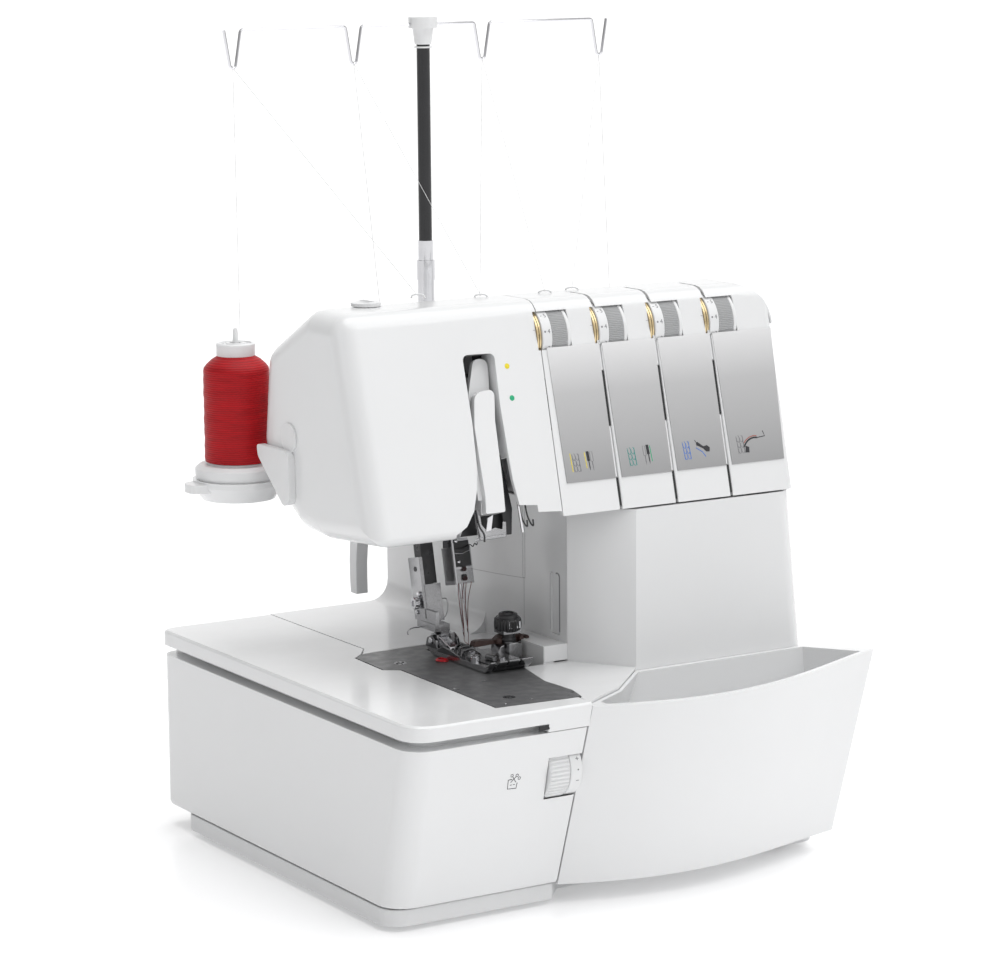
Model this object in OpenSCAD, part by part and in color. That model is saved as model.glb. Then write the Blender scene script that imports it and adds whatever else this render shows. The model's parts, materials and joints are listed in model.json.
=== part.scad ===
// Serger (overlock) machine: free bed on the left, column on the right, leaning head with four tension units,
// telescopic thread stand behind, and a waste tray in front of the looper cover. Millimetres, +Z up.
// The layout starts at the front left bottom corner of the base plate; place() centres the whole machine.

/* [Bed] */
// Width of the whole body, from the left face of the bed to the right cover
body_w = 283.5; // [276:0.5:292]
// Depth of the bed, from the foot of its front face to its back
bed_depth = 256; // [250:1:270]
// Height of the skirt of the base plate
base_h = 9; // [7:0.5:12]
// Height of the side cover's top edge
cover_top = 96.6; // [92:0.2:98]
// Open groove between the side cover and the cloth plate
groove_h = 5; // [3:0.5:7]
// Thickness of the cloth plate at its edge
cloth_t = 8.6; // [7:0.2:11]
// Lean of the bed's front face, outward with height, in degrees
bed_lean = 13.8; // [10:0.2:16]
// Right end of the cloth plate
bed_right = 106; // [104:0.5:107]
// Height of the rubber feet under the base plate
foot_h = 3; // [2:0.5:6]
// Radius of a rubber foot
foot_r = 10; // [7:0.5:12]

/* [Column and head] */
// Left wall of the column, the end of the sewing space
column_x = 148; // [146:0.5:152]
// Front of the column at the seam under the tension cover
column_front = 39.5; // [37:0.5:42]
// Height of the seam under the tension cover
seam_z = 194; // [191:0.5:197]
// Left face of the head
head_x = 15.5; // [8:0.5:24]
// Height of the head's top
head_top = 305; // [302:0.5:310]
// Lean of the head's front face, backward with height, in degrees
face_lean = 16.7; // [15.5:0.1:17.5]
// Wall thickness of the plastic covers
wall = 2.5; // [2:0.1:3]
// Gap between neighbouring covers
seam_gap = 0.6; // [0.4:0.1:1]

/* [Tension units] */
// Left edge of the first tension unit, at the height of the dials
unit_x = 135.8; // [135:0.1:136.5]
// Distance from one tension unit to the next
unit_pitch = 36.1; // [35.6:0.1:36.6]
// Radius of a tension dial
dial_r = 17.5; // [16.5:0.1:17.6]
// Width of a tension dial
dial_w = 17.8; // [16:0.2:18.4]
// Radius of the brass tension discs
disc_r = 16.5; // [14:0.5:17]
// Radius of the stud that carries a tension dial
stud_r = 3; // [2:0.25:4]

/* [Thread stand] */
// Middle of the thread stand, left to right
stand_x = 134.8; // [134:0.2:136]
// Depth at which the pole and the spools stand
stand_y = 185; // [184:0.5:188]
// Distance from the pole to an inner spool
inner_spool = 32; // [30:0.5:36]
// Distance from the pole to an outer spool
outer_spool = 120; // [114:0.5:122]
// Radius of a cup of the spool stand
cup_r = 25; // [23:0.5:25.5]
// Radius of the wound thread on a spool
spool_r = 18; // [14:0.5:19]
// Height of the wound thread on a spool
spool_h = 60; // [50:1:66]
// Top of the thread stand, fully pulled out
stand_top = 451.5; // [446:0.5:460]
// How far the top tube slides down
stand_travel = 100; // [80:5:102]
// Radius of the thread guide's wire
wire_r = 0.9; // [0.7:0.1:1.2]

/* [Sewing parts] */
// Needle bar, left to right
needle_x = 115; // [114.5:0.1:115.5]
// Depth at which the needles enter the stitch plate
needle_y = 111; // [110:0.5:112]
// Lean of the needle bar and the presser bar, in degrees
bar_lean = 12; // [11:0.2:12.4]
// Radius of the needle bar and the presser bar
bar_r = 3; // [2.5:0.1:3.5]
// Presser bar, left to right
presser_x = 100.5; // [99.5:0.5:101]
// Thickness of the stitch plate
plate_t = 2.5; // [2:0.1:3]
// Distance from one needle to the other
needle_pitch = 2.8; // [2.4:0.1:3.2]

/* [Drive] */
// Depth of the main shaft
shaft_y = 150; // [147:1:154]
// Height of the main shaft
shaft_z = 75; // [73:1:78]
// Radius of the main shaft
shaft_r = 6; // [5:0.5:7]
// Radius of the handwheel
wheel_r = 36; // [30:1:40]
// Radius of the belt pulley on the main shaft
pulley_r = 30; // [26:1:32]
// Radius of the pulley on the motor
motor_pulley_r = 9; // [7:0.5:10]
// Radius of the motor's body
motor_r = 24; // [20:1:26]

/* [Width dial and tray] */
// Radius of the cutting width dial on the bed's front
width_dial_r = 16; // [15:0.5:17]
// How far the tray's rim bulges forward
tray_bulge = 26; // [18:1:30]
// Height of the tray's rim
tray_rim = 108; // [104:0.5:109]
// Wall thickness of the tray
tray_wall = 2.4; // [2:0.1:3]

/* [Hidden] */
$fn = 48;
eps = 0.01;
run = 0.05;                 // radial clearance of a shaft in its bore
gap = 0.4;                  // gap between pieces that move past each other
seat = 0.3;                 // gap under a piece that rests on another body
plate_z = cover_top + groove_h + cloth_t;   // top of the cloth plate and the stitch plate
slab_z = plate_z - cloth_t;                 // underside of the cloth plate
column_top = seam_z - 1;
low_z = base_h + seam_gap;                  // lower edge of the covers
side_y = 78;                // front edge of the right cover
wall_y = 62;                // front edge of the column's left wall
right_x = body_w - 25.5;    // left edge of the right cover
stand_left = stand_x - outer_spool - cup_r - 6;
tray_tip = body_w + 24;
tray_front = -tan(bed_lean) * tray_rim * 0.62 - tray_bulge;
back_y = bed_depth + 0.6;
centre_x = (stand_left + tray_tip) / 2;
centre_y = (tray_front + back_y) / 2;

// ---------- helpers ----------
module place() { translate([-centre_x, -centre_y, foot_h]) children(); }
module along_x(x0, x1) { translate([x0, 0, 0]) rotate([90, 0, 90]) linear_extrude(x1 - x0) children(); }
module along_y(y0, y1) { translate([0, y1, 0]) rotate([90, 0, 0]) linear_extrude(y1 - y0) children(); }
module along_z(z0, z1) { translate([0, 0, z0]) linear_extrude(z1 - z0) children(); }
module box(a, b) { translate(a) cube(b - a); }
module rod_x(x0, x1, y, z, r) { translate([x0, y, z]) rotate([0, 90, 0]) cylinder(r = r, h = x1 - x0); }
module rod_y(y0, y1, x, z, r) { translate([x, y0, z]) rotate([-90, 0, 0]) cylinder(r = r, h = y1 - y0); }
module ring_x(x0, x1, y, z, r, bore) {
    difference() {
        rod_x(x0, x1, y, z, r);
        rod_x(x0 - 1, x1 + 1, y, z, bore);
    }
}
function unit2(v) = v / norm(v);
function xy(p) = [p[0], p[1]];
function turn(a) = a > 180 ? a - 360 : a < -180 ? a + 360 : a;
function lerp(a, b, t) = a + (b - a) * t;
// Corner i of the outline p, whose corners are [x, y, radius], as points along its arc
function corner(p, i, n) =
    let (m = len(p), b = xy(p[i]), r = p[i][2])
    let (u = unit2(xy(p[(i + m - 1) % m]) - b), v = unit2(xy(p[(i + 1) % m]) - b))
    let (half = acos(u * v) / 2, c = b + unit2(u + v) * r / sin(half))
    let (s = b + u * r / tan(half) - c, e = b + v * r / tan(half) - c)
    let (a0 = atan2(s[1], s[0]), da = turn(atan2(e[1], e[0]) - a0))
    r == 0 ? [b] : [for (k = [0:n]) c + r * [cos(a0 + da * k / n), sin(a0 + da * k / n)]];
function rounded(p, n = 5) = [for (i = [0:len(p) - 1]) each corner(p, i, n)];
// The outline p moved inward by d, its corner radii with it
function inset(p, d) = [for (i = [0:len(p) - 1])
    let (m = len(p), b = xy(p[i]), u = unit2(b - xy(p[(i + m - 1) % m])), v = unit2(xy(p[(i + 1) % m]) - b))
    let (nu = [-u[1], u[0]], nv = [-v[1], v[0]], q = b + (nu + nv) * d / (1 + nu * nv))
    [q[0], q[1], p[i][2] == 0 ? 0 : max(p[i][2] - d, 0.5)]];
function at_z(p, z) = [for (q = p) [q[0], q[1], z]];
// Closed skin over rings of points that all have the same count
module skin(rings) {
    m = len(rings[0]);
    k = len(rings);
    polyhedron(points = [for (r = rings) each r],
        faces = concat([[for (i = [0:m - 1]) i]],
            [for (j = [0:k - 2], i = [0:m - 1]) [j * m + i, (j + 1) * m + i, j * m + (i + 1) % m]],
            [for (j = [0:k - 2], i = [0:m - 1])
                [j * m + (i + 1) % m, (j + 1) * m + i, (j + 1) * m + (i + 1) % m]],
            [[for (i = [m - 1:-1:0]) (k - 1) * m + i]]));
}
// Lofts that together reach from the height z0 to z1, joined into one shell
module joined(z0, z1) { translate([0, 0, z0]) resize([0, 0, z1 - z0]) translate([0, 0, -z0]) children(); }

// ---------- base ----------
skirt = 3;
rear_inset = 24;            // how far the base plate stays in from the rear of the covers
function base_outline(d) = inset([[0, 0, 12], [bed_right - 8, 0, 3], [bed_right + 4, 14.5, 3],
    [body_w - 2, 14.5, 10], [body_w - 2, bed_depth - rear_inset, 10], [0, bed_depth - rear_inset, 10]], d);
module base_plate() {
    color("whitesmoke") place() difference() {
        along_z(0, base_h) polygon(rounded(base_outline(0)));
        along_z(skirt, base_h + 1) polygon(rounded(base_outline(skirt)));
    }
}
feet = [for (x = [22, body_w - 24], y = [34, bed_depth - rear_inset - 16]) [x, y]];
module rubber_feet() {
    color("dimgray") place() for (p = feet) translate([p[0], p[1], -foot_h]) rotate_extrude()
        polygon([[0, 0], [foot_r - 1, 0], [foot_r, 1], [foot_r - 0.6, foot_h], [0, foot_h]]);
}

// ---------- bed ----------
function bed_front(z) = -tan(bed_lean) * z;
function bed_end(z) = bed_right - 0.066 * (plate_z - z);
bed_corner = 14;            // radius of the front left corner
rear_corner = 8;            // radius of the rear left corner
function bed_ring(z, d) = at_z(rounded([[d, bed_front(z) + d, bed_corner], [bed_end(z), bed_front(z) + d, 0],
    [bed_end(z), bed_depth - d, 0], [d, bed_depth - d, rear_corner]]), z);
width_z = 73.5;
width_y = bed_front(width_z) + 12.4;
hinge = [12, bed_depth - 8];
hinge_r = 3;
hinge_top = plate_z - 3;
groove_in = 9;
module side_cover() {
    deck = cover_top - wall;
    rim = bed_front(cover_top) + groove_in;
    color("white") place() {
        difference() {
            skin([bed_ring(low_z, 0.8), bed_ring(low_z + 2, 0), bed_ring(cover_top, 0)]);
            skin([for (z = [low_z - 1, deck]) at_z(rounded([[wall, bed_front(z) + wall, bed_corner - wall],
                [bed_right + 9, bed_front(z) + wall, 0], [bed_right + 9, bed_depth - wall, 0],
                [wall, bed_depth - wall, rear_corner - wall]]), z)]);
            // opening under the stitch plate
            box([58, -6, deck - 1], [bed_right + 1, 150, cover_top + 1]);
            // window of the cutting width dial
            rod_x(bed_right - 22, bed_right + 1, width_y, width_z, width_dial_r + 0.8);
        }
        // wall of the groove under the cloth plate
        difference() {
            along_z(cover_top, slab_z - gap) polygon(rounded([[groove_in, rim, 8], [bed_right - 2, rim, 0],
                [bed_right - 2, bed_depth - groove_in, 0], [groove_in, bed_depth - groove_in, 3]]));
            along_z(cover_top - 1, slab_z) polygon([[groove_in + wall, rim + wall], [bed_right - 1, rim + wall],
                [bed_right - 1, bed_depth - groove_in - wall], [groove_in + wall, bed_depth - groove_in - wall]]);
        }
        // pin on which the cloth plate swings
        translate([hinge[0], hinge[1], deck]) cylinder(r = hinge_r + 3, h = slab_z - gap - deck);
        translate([hinge[0], hinge[1], deck]) cylinder(r = hinge_r, h = hinge_top - gap - deck);
        // ear and pin of the cutting width dial
        box([bed_right - 25, bed_front(width_z - 8) + 1, width_z - 8], [bed_right - 22.4, width_y + 6, width_z + 8]);
        rod_x(bed_right - 23, bed_right - 4, width_y, width_z, 3);
    }
}
// Left and rear edge of the stitch plate, from its front right corner
plate_edge = [[106.7, -13.5], [58.7, -10.2], [61.3, 90.1], [53.3, 95.4], [55, 129], [62, 135]];
rear_x = 70;                // seam between the cloth plate and the fixed rear part of the bed
module cloth_plate() {
    function front(z) = bed_front(z) - 0.5;
    cut = concat([[bed_right, plate_edge[0][1] - seam_gap, 0], [plate_edge[1][0] - seam_gap, plate_edge[1][1] - seam_gap, 0]],
        [for (i = [2:5]) [plate_edge[i][0] - seam_gap, plate_edge[i][1], 0]]);
    function ring(z, d) = at_z(rounded(concat([[d, front(z) + d, bed_corner], [bed_right, front(z) + d, 0]], cut,
        [[rear_x - seam_gap, plate_edge[5][1] + 11, 0], [rear_x - seam_gap, back_y - d, 0], [d, back_y - d, 6]])), z);
    color("white") place() difference() {
        joined(cover_top + gap, plate_z) {
            skin([ring(slab_z, 0), ring(plate_z - 1.2, 0), ring(plate_z, 1.2)]);
            // thick end of the front edge, right of the groove
            skin([for (z = [cover_top + gap, slab_z]) at_z([[bed_right - 25, front(z)],
                [bed_right, front(z)], [bed_right, front(z) + 6], [bed_right - 25, front(z) + 6]], z)]);
        }
        // hollow underside
        box([4, 0, slab_z - 1], [50, bed_depth - 24, hinge_top]);
        translate([hinge[0], hinge[1], slab_z - 1]) cylinder(r = hinge_r + run, h = hinge_top - slab_z + 1);
    }
}

// ---------- column ----------
slot_y = 73.5;
fillet = 12;
shelf_z = plate_z + 9;      // top of the shelf beside the knives
module inner_cover() {
    out = column_x + wall;
    prof = concat([[rear_x, slab_z], [rear_x, plate_z]],
        [for (a = [-90:15:0]) [column_x - fillet + fillet * cos(a), plate_z + fillet + fillet * sin(a)]],
        [[column_x, column_top], [out, column_top], [out, slab_z]]);
    color("white") place() difference() {
        union() {
            along_y(plate_edge[5][1] + 11, back_y) polygon(prof);
            along_z(slab_z, plate_z) polygon([plate_edge[5] + [0.8, 0.7], [123.6, 138.6], [122.2, 105.6], [out, 105.6],
                [out, 147], [rear_x, 147], [rear_x, 146.4]]);
            // column wall in front, down beside the knives
            box([column_x, wall_y, slab_z - 6], [out, 147, column_top]);
            // raised shelf beside the knives
            along_y(wall_y, 105.7) polygon([[133, slab_z], [out, slab_z], [out, deck_z], [140, deck_z], [137, deck_z + 2.4],
                [137.4, shelf_z - 5], [140, shelf_z - 3.4], [column_x, shelf_z - 2.6], [out, shelf_z - 2.6],
                [out, shelf_z], [133, shelf_z]]);
        }
        box([rear_x + 4, 150, slab_z - 1], [column_x - 2, bed_depth - 4, plate_z - 3]);
        // recess of the thread path
        box([column_x - 1, slot_y - 4.5, plate_z + 12], [column_x + 1.5, slot_y + 4.5, plate_z + 46]);
    }
}
module rear_cover() {
    x0 = bed_right + seam_gap;
    in = column_x + wall + gap;
    color("white") place() difference() {
        union() {
            box([x0, bed_depth - wall, low_z], [right_x - seam_gap, bed_depth, slab_z - gap]);
            box([in, bed_depth - wall, low_z], [right_x - seam_gap, bed_depth, column_top]);
            box([in, 130, column_top - wall], [right_x - seam_gap, bed_depth, column_top]);
        }
        for (i = [0:6]) box([186 + i * 9, bed_depth - 10, 30], [190 + i * 9, bed_depth + 1, 64]);
    }
}
switch_yz = [226, 70];
inlet_yz = [226, 38];
length_yz = [222, 158];
feed_yz = [222, 118];
side_dial_r = 15;
module right_cover() {
    r = 14;
    color("white") place() difference() {
        along_z(low_z, column_top) polygon(rounded([[right_x, side_y, 0], [body_w, side_y, 0],
            [body_w, bed_depth, r], [right_x, bed_depth, 0]]));
        along_z(low_z - 1, column_top - wall) polygon(rounded([[right_x - 1, side_y - 1, 0],
            [body_w - wall, side_y - 1, 0], [body_w - wall, bed_depth - wall, r - wall], [right_x - 1, bed_depth - wall, 0]]));
        rod_x(body_w - 10, body_w + 1, shaft_y, shaft_z, shaft_r + 2);
        for (p = [length_yz, feed_yz]) rod_x(body_w - 10, body_w + 1, p[0], p[1], 4 + run);
        box([body_w - 10, switch_yz[0] - 10, switch_yz[1] - 7], [body_w + 1, switch_yz[0] + 10, switch_yz[1] + 7]);
        box([body_w - 10, inlet_yz[0] - 13, inlet_yz[1] - 9], [body_w + 1, inlet_yz[0] + 13, inlet_yz[1] + 9]);
    }
}

// ---------- looper cover and tray ----------
function col_front(z) = column_front - 0.139 * (seam_z - z);
function bevel_x(z) = 170 + 0.096 * (z - plate_z);
// Front line of the looper cover below its deck, from the bed to the right side, moved back by d
function skirt_line(z, d) =
    let (s = (z - low_z) / (plate_z - low_z), p = [bed_end(z) + 1.2, bed_front(z) + 3.9])
    let (q = p + [30, 18.2] * lerp(0.61, 1, s), run_back = col_front(z) - q[1])
    [for (v = [p, q, q + [run_back, run_back], [body_w, col_front(z)]]) v + [0, d]];
deck_z = plate_z - 0.6;
module looper_cover() {
    split_x = 182;          // seam between the plain column wall and the bevelled stretch left of it
    deck_t = 3;             // thickness of the deck
    function right(z) = at_z(concat([[split_x, col_front(z)]],
        corner([[split_x, col_front(z), 0], [body_w, col_front(z), 12], [body_w, side_y, 0]], 1, 5),
        [[body_w, side_y - gap], [body_w - wall, side_y - gap]],
        corner([[body_w - wall, side_y, 0], [body_w - wall, col_front(z) + wall, 10],
            [split_x, col_front(z) + wall, 0]], 1, 5), [[split_x, col_front(z) + wall]]), z);
    function upper(z) = at_z([[column_x, wall_y - gap], [bevel_x(z), col_front(z)], [split_x, col_front(z)],
        [split_x, col_front(z) + wall], [bevel_x(z) + 1, col_front(z) + wall], [column_x + 3.5, wall_y - gap]], z);
    function lower(z) = let (p = skirt_line(z, 0), q = skirt_line(z, wall))
        at_z([p[0], p[1], p[2], [split_x, p[3][1]], [split_x, q[3][1]], q[2], q[1], q[0]], z);
    function deck(z) = let (p = skirt_line(z, 0))
        at_z([p[0], p[1], p[2], [column_x + 8, wall_y - gap], [120.4, wall_y - gap], [119.1, 57.5],
            [111.7, 26], [112.4, 17.2], [112.8, 0.6], [109.7, -11.4], [107.5, -14.1]], z);
    color("white") place() joined(low_z, column_top) {
        skin([lower(low_z), lower(deck_z)]);
        skin([deck(deck_z - deck_t), deck(deck_z)]);
        skin([upper(deck_z), upper(column_top)]);
        skin([right(low_z), right(column_top)]);
    }
}
// Front of the tray at height z and share t of its length
function tray_y(z, t) = let (s = z / tray_rim)
    lerp(bed_front(z) + 0.4, 4 - 5 * s, t)
    - tray_bulge * (0.72 + 0.28 * s) * pow(max(sin(180 * pow(t, 0.82)), 0), 1.15);
module waste_tray() {
    low = base_h - 1;
    lip = 13;
    n = 14;
    function x0(z) = bed_end(z) + 1.2;
    function x1(z) = body_w - 2 + (tray_tip - body_w + 2) * z / tray_rim;
    function loop(z, zz, d) = let (w = x1(z) - x0(z), ta = 3.4 * d / w, tb = 1 - 4 * d / w, p = skirt_line(z, -gap))
        let (e = 1.2 * d, ya = lerp(p[0][1], p[1][1], ta * w / (p[1][0] - p[0][0])))
        at_z(concat([for (i = [0:n]) let (t = lerp(ta, tb, i / n)) [x0(z) + w * t, tray_y(z, t) + 1.15 * d]],
            [[body_w - 3 - d, col_front(z) - gap - d], [p[2][0], p[2][1] - e], [p[1][0], p[1][1] - e], [x0(z) + w * ta, ya - e]]), zz);
    color("white") place() skin([loop(low, low, 0), loop(tray_rim - lip, tray_rim - lip, 0), loop(tray_rim, tray_rim, 0),
        loop(tray_rim, tray_rim, tray_wall), loop(tray_rim - lip, tray_rim - lip, tray_wall),
        loop(low + 3, low + 3, tray_wall)]);
}

// ---------- head ----------
function face_y(z) = column_front + tan(face_lean) * (z - seam_z);
unit_lean = 0.036;
dial_z = 284.5;
dial_y = face_y(dial_z) + (dial_r - 2) / cos(face_lean);
window_end = 79;            // where the windows end, under the roof of the head
function unit_left(k) = unit_x + k * unit_pitch;
function seam_x(z) = unit_x - unit_lean * (head_top - 6 - z);
function side_prof(low) = [[face_y(low), low, 4], [face_y(low) + 59, low - 4, 20], [face_y(low) + 82, low - 2, 20],
    [142, low + 12, 12], [162.5, 227.5, 14], [155.6, 278.8, 14], [107, head_top, 15], [face_y(head_top), head_top, 12]];
head_low = 188.3;
function head_ring(x, d) = [for (q = rounded(inset(side_prof(head_low), d), 4)) [x, q[0], q[1]]];
function lean_ring(k, g, d) = [for (q = rounded(inset(side_prof(head_low), d), 4)) [seam_x(q[1]) + g, q[0], q[1]]];
module dial_windows(n0, n1) {
    intersection() {
        for (k = [n0:n1]) rod_x(unit_left(k) - 2.6, unit_left(k) + dial_w + 0.9, dial_y, dial_z, dial_r + 1);
        box([100, 0, 200], [300, window_end, 400]);
    }
}
// Outline of the take-up slot and the open underside right of it, as [x, z, corner radius]
slot_line = rounded([[86, 280.3, 3], [105.6, 280, 3], [104.2, 253.5, 0], [104.3, 227, 0], [104.6, 215, 0],
    [106.2, 202.2, 0], [117, 201.2, 0], [117, 197.7, 0], [140, 196, 0], [140, 180, 0], [66, 180, 0], [66, 190.8, 0],
    [72.7, 194.6, 0], [78.1, 201.6, 0], [81.5, 210.8, 0], [84, 221.3, 0], [85.6, 245, 0]]);
module head_cover() {
    r = 12;
    color("white") place() difference() {
        skin(concat([for (a = [90:-18:0]) head_ring(head_x + r * (1 - cos(90 - a)) , r * (1 - sin(90 - a)))],
            [lean_ring(0, -seam_gap, 0)]));
        skin([head_ring(head_x + wall, r), head_ring(head_x + r, wall), lean_ring(0, 6, wall)]);
        // take-up slot, open to the needle area
        along_y(0, 80) polygon(slot_line);
        // open underside round the two bars
        box([72, 70, 170], [150, 145, 203]);
        box([90, 130, 170], [112, 150, 211]);
        box([74, 138, 170], [94, 160, 214]);
        dial_windows(0, 0);
        pressure_bore();
    }
}
pressure_xy = [50, 103];
module pressure_bore() {
    translate([pressure_xy[0], pressure_xy[1], head_top - 12]) cylinder(r = 6 + run, h = 20);
}
module tension_cover() {
    right = 3.4;
    r = 5;
    n = 3;
    function end_ring(g, d) = [for (q = rounded(inset(side_prof(head_low), d), 4))
        [body_w + 0.0447 * (q[1] - seam_z) + g, q[0], q[1]]];
    color("white") place() difference() {
        intersection() {
            skin(concat([lean_ring(0, 0, 0)], [for (a = [0:22.5:90]) end_ring(-r * (1 - sin(a)), r * (1 - cos(a)))]));
            along_y(0, 200) polygon(rounded([[100, seam_z, 0], [body_w, seam_z, 0],
                [body_w + 0.0447 * (head_top - seam_z) + 0.4, head_top + eps, 22], [100, head_top + eps, 0]]));
        }
        difference() {
            skin([lean_ring(0, -3, wall), end_ring(-wall, wall)]);
            // ribs left standing beside the slots
            for (k = [1:3]) along_y(30, 62) polygon([[unit_left(k) + 2.6, 300], [unit_left(k) + 4, 300],
                [unit_left(k) - 2.9, seam_z], [unit_left(k) - 4.3, seam_z]]);
        }
        // thread slots between the units
        for (k = [1:3]) along_y(0, 96) polygon([[unit_left(k), 310], [unit_left(k) + 1.8, 310],
            [unit_left(k) + 1.8 - unit_lean * 130, 180], [unit_left(k) - unit_lean * 130, 180]]);
        dial_windows(0, 3);
    }
}
// Frame on the leaning front face: x right, y inward, z up along the face from the seam
module on_face() { translate([0, column_front, seam_z]) rotate([-face_lean, 0, 0]) children(); }
label_low = 17;
label_high = 90;
module tension_labels() {
    color("silver") place() on_face() for (k = [0:3]) {
        left = unit_left(k) + (k == 0 ? 1.4 : 0.2);
        // right edge along the next slot, or near the end of the machine
        low = k == 3 ? unit_left(3) + 35.1 : unit_left(k + 1) - unit_lean * (label_high + 15 - label_low) - 0.7;
        high = k == 3 ? unit_left(3) + 40.7 : unit_left(k + 1) - unit_lean * 15 - 0.7;
        along_y(-0.5, 0) polygon([[left, label_low], [low, label_low], [high, label_high], [left + 1, label_high]]);
    }
}

// ---------- tension units ----------
module tension_dial(k) {
    x = unit_left(k) + 0.4;
    grip = x + 6.2;
    color("gainsboro") place() difference() {
        union() {
            rod_x(x, x + dial_w, dial_y, dial_z, dial_r - 0.8);
            rod_x(x + dial_w - 2, x + dial_w, dial_y, dial_z, dial_r);
            rod_x(x, x + 6, dial_y, dial_z, dial_r);
            // ribbed grip
            for (a = [0:10:350]) translate([grip, dial_y, dial_z]) rotate([a, 0, 0])
                translate([0, -0.9, dial_r - 2]) cube([9.2, 1.8, 2]);
        }
        rod_x(x - 1, x + dial_w - 4, dial_y, dial_z, dial_r - 4);
        rod_x(x - 1, x + dial_w + 1, dial_y, dial_z, stud_r + run);
    }
}
module tension_dial_1() { tension_dial(0); }
module tension_dial_2() { tension_dial(1); }
module tension_dial_3() { tension_dial(2); }
module tension_dial_4() { tension_dial(3); }
bracket = 21;               // from a unit's left edge to the bracket that holds its stud
module tension_studs() {
    color("silver") place() for (k = [0:3]) {
        rod_x(unit_left(k) - 3, unit_left(k) + bracket + 6, dial_y, dial_z, stud_r);
        rod_x(unit_left(k) - 3.6, unit_left(k) - 2.6, dial_y, dial_z, stud_r + 2);
    }
}
module tension_discs() {
    color("goldenrod") place() for (k = [0:3], s = [0, 1])
        ring_x(unit_left(k) - 2.4 + s * 1.4, unit_left(k) - 1.4 + s * 1.4, dial_y, dial_z, disc_r, stud_r);
}
function coil_ring(c, u, v, a, r, w, n = 6) = [for (i = [0:n - 1])
    c + (r + w * cos(360 * i / n)) * (cos(a) * u + sin(a) * v) - w * sin(360 * i / n) * cross(u, v)];
// Helical spring along the unit direction cross(u, v), from the point c
module spring(c, u, v, r, w, len, turns) {
    skin([for (i = [0:turns * 12]) coil_ring(c + cross(u, v) * len * i / (turns * 12), u, v, 30 * i, r, w)]);
}
module tension_springs() {
    color("darkgray") place() for (k = [0:3])
        spring([unit_left(k) + 0.95, dial_y, dial_z], [0, 1, 0], [0, 0, 1], 7, 0.6, dial_w - 5.5, 4);
}

// ---------- frame and drive ----------
bar_dir = [0, sin(bar_lean), cos(bar_lean)];
function bar_y(z) = needle_y + tan(bar_lean) * (z - plate_z);
presser_y = 124;
function presser_at(z) = presser_y + tan(bar_lean) * (z - 125);
// Cylinder along a bar's axis, between two heights of that axis
module bar(x, y, z0, z1, r) { translate([x, y, z0]) rotate([-bar_lean, 0, 0]) cylinder(r = r, h = (z1 - z0) / cos(bar_lean)); }
motor_yz = [92, 44];
motor_x = body_w - 97.5;
frame_in = column_x + wall + gap;
frame_t = 8;
pulley_x = body_w - 36.5;   // left side of the belt's pulleys
right_wall = pulley_x - 11; // left side of the right bearing wall
looper_wall = 118;
spring_z = 237.5;           // seat of the presser spring on its boss
lifter_yz = [150, 207];     // axis of the presser lifter
take_pivot = [125, 258];    // axis of the take-up lever
pivot_r = 2.5;
module machine_frame() {
    color("silver") place() difference() {
        union() {
            // foot and left bearing wall, up into the head
            box([112, 70, skirt], [pulley_x - 2, 226, base_h - 1]);
            box([frame_in, 96, skirt], [frame_in + frame_t, 200, 170]);
            box([frame_in, 111.5, 168], [frame_in + frame_t, 127, 286]);
            // right bearing wall
            box([right_wall, 120, skirt], [right_wall + frame_t, 180, 110]);
            // arm with the bosses of the two bars
            box([34, 116, 222], [frame_in + frame_t, 146, 236]);
            bar(needle_x, bar_y(206), 206, 240, 8);
            bar(presser_x, presser_at(221), 221, spring_z - 0.5, 7);
            // ear and pin of the presser lifter, pin of the take-up lever
            along_x(84.3, 90) polygon([for (p = [[-7, 29], [-7, -4], [-3, -6], [3, -6], [4, 3], [-2.5, 6], [-2.5, 29]])
                lifter_yz + p]);
            rod_x(76.5, 90, lifter_yz[0], lifter_yz[1], pivot_r);
            rod_x(96, frame_in + 1, take_pivot[0], take_pivot[1], pivot_r);
            // beam and brackets of the tension studs
            box([frame_in, dial_y + dial_r + 3, dial_z - 24], [body_w - 6, dial_y + dial_r + 14, dial_z + 2]);
            for (k = [0:3]) box([unit_left(k) + bracket, dial_y - 8, dial_z - 8],
                [unit_left(k) + bracket + 3, dial_y + dial_r + 4, dial_z + 8]);
            // arm under the stitch plate
            box([64, 118, 78], [frame_in + 2, 130, 92]);
            box([64, -4, 86], [82.5, 130, 92]);
            for (p = screws) translate([p[0], p[1], 86]) cylinder(r = 4, h = plate_z - plate_t - 86);
            // post of the knives and wall of the looper pins
            box([112, 84, skirt], [123.6, 94, 86]);
            box([108, looper_wall, skirt], [frame_in + 1, looper_wall + 8, 92]);
        }
        for (x = [frame_in, right_wall]) rod_x(x - 1, x + frame_t + 1, shaft_y, shaft_z, bearing_r);
        bar(needle_x, bar_y(195), 195, 260, bar_r + run);
        bar(presser_x, presser_at(200), 200, 260, bar_r + run);
        for (k = [0:3]) rod_x(unit_left(k) + bracket - 1, unit_left(k) + bracket + 4, dial_y, dial_z, stud_r);
        for (p = screws) translate([p[0], p[1], 80]) cylinder(r = 1.5, h = 60);
        for (p = [lower_axis, upper_axis]) rod_y(looper_wall - 1, looper_wall + 9, p[0], p[1], looper_pin + run);
        // lightening windows of the bearing wall
        for (z = [30, 100]) box([frame_in - 1, 104, z], [frame_in + frame_t + 1, 132, z + 30]);
    }
}
bearing_r = shaft_r + 5;
module shaft_bearings() {
    color("darkgray") place() for (x = [frame_in, right_wall])
        ring_x(x, x + frame_t, shaft_y, shaft_z, bearing_r, shaft_r + run);
}
wheel_x = body_w + 1.6;
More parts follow.
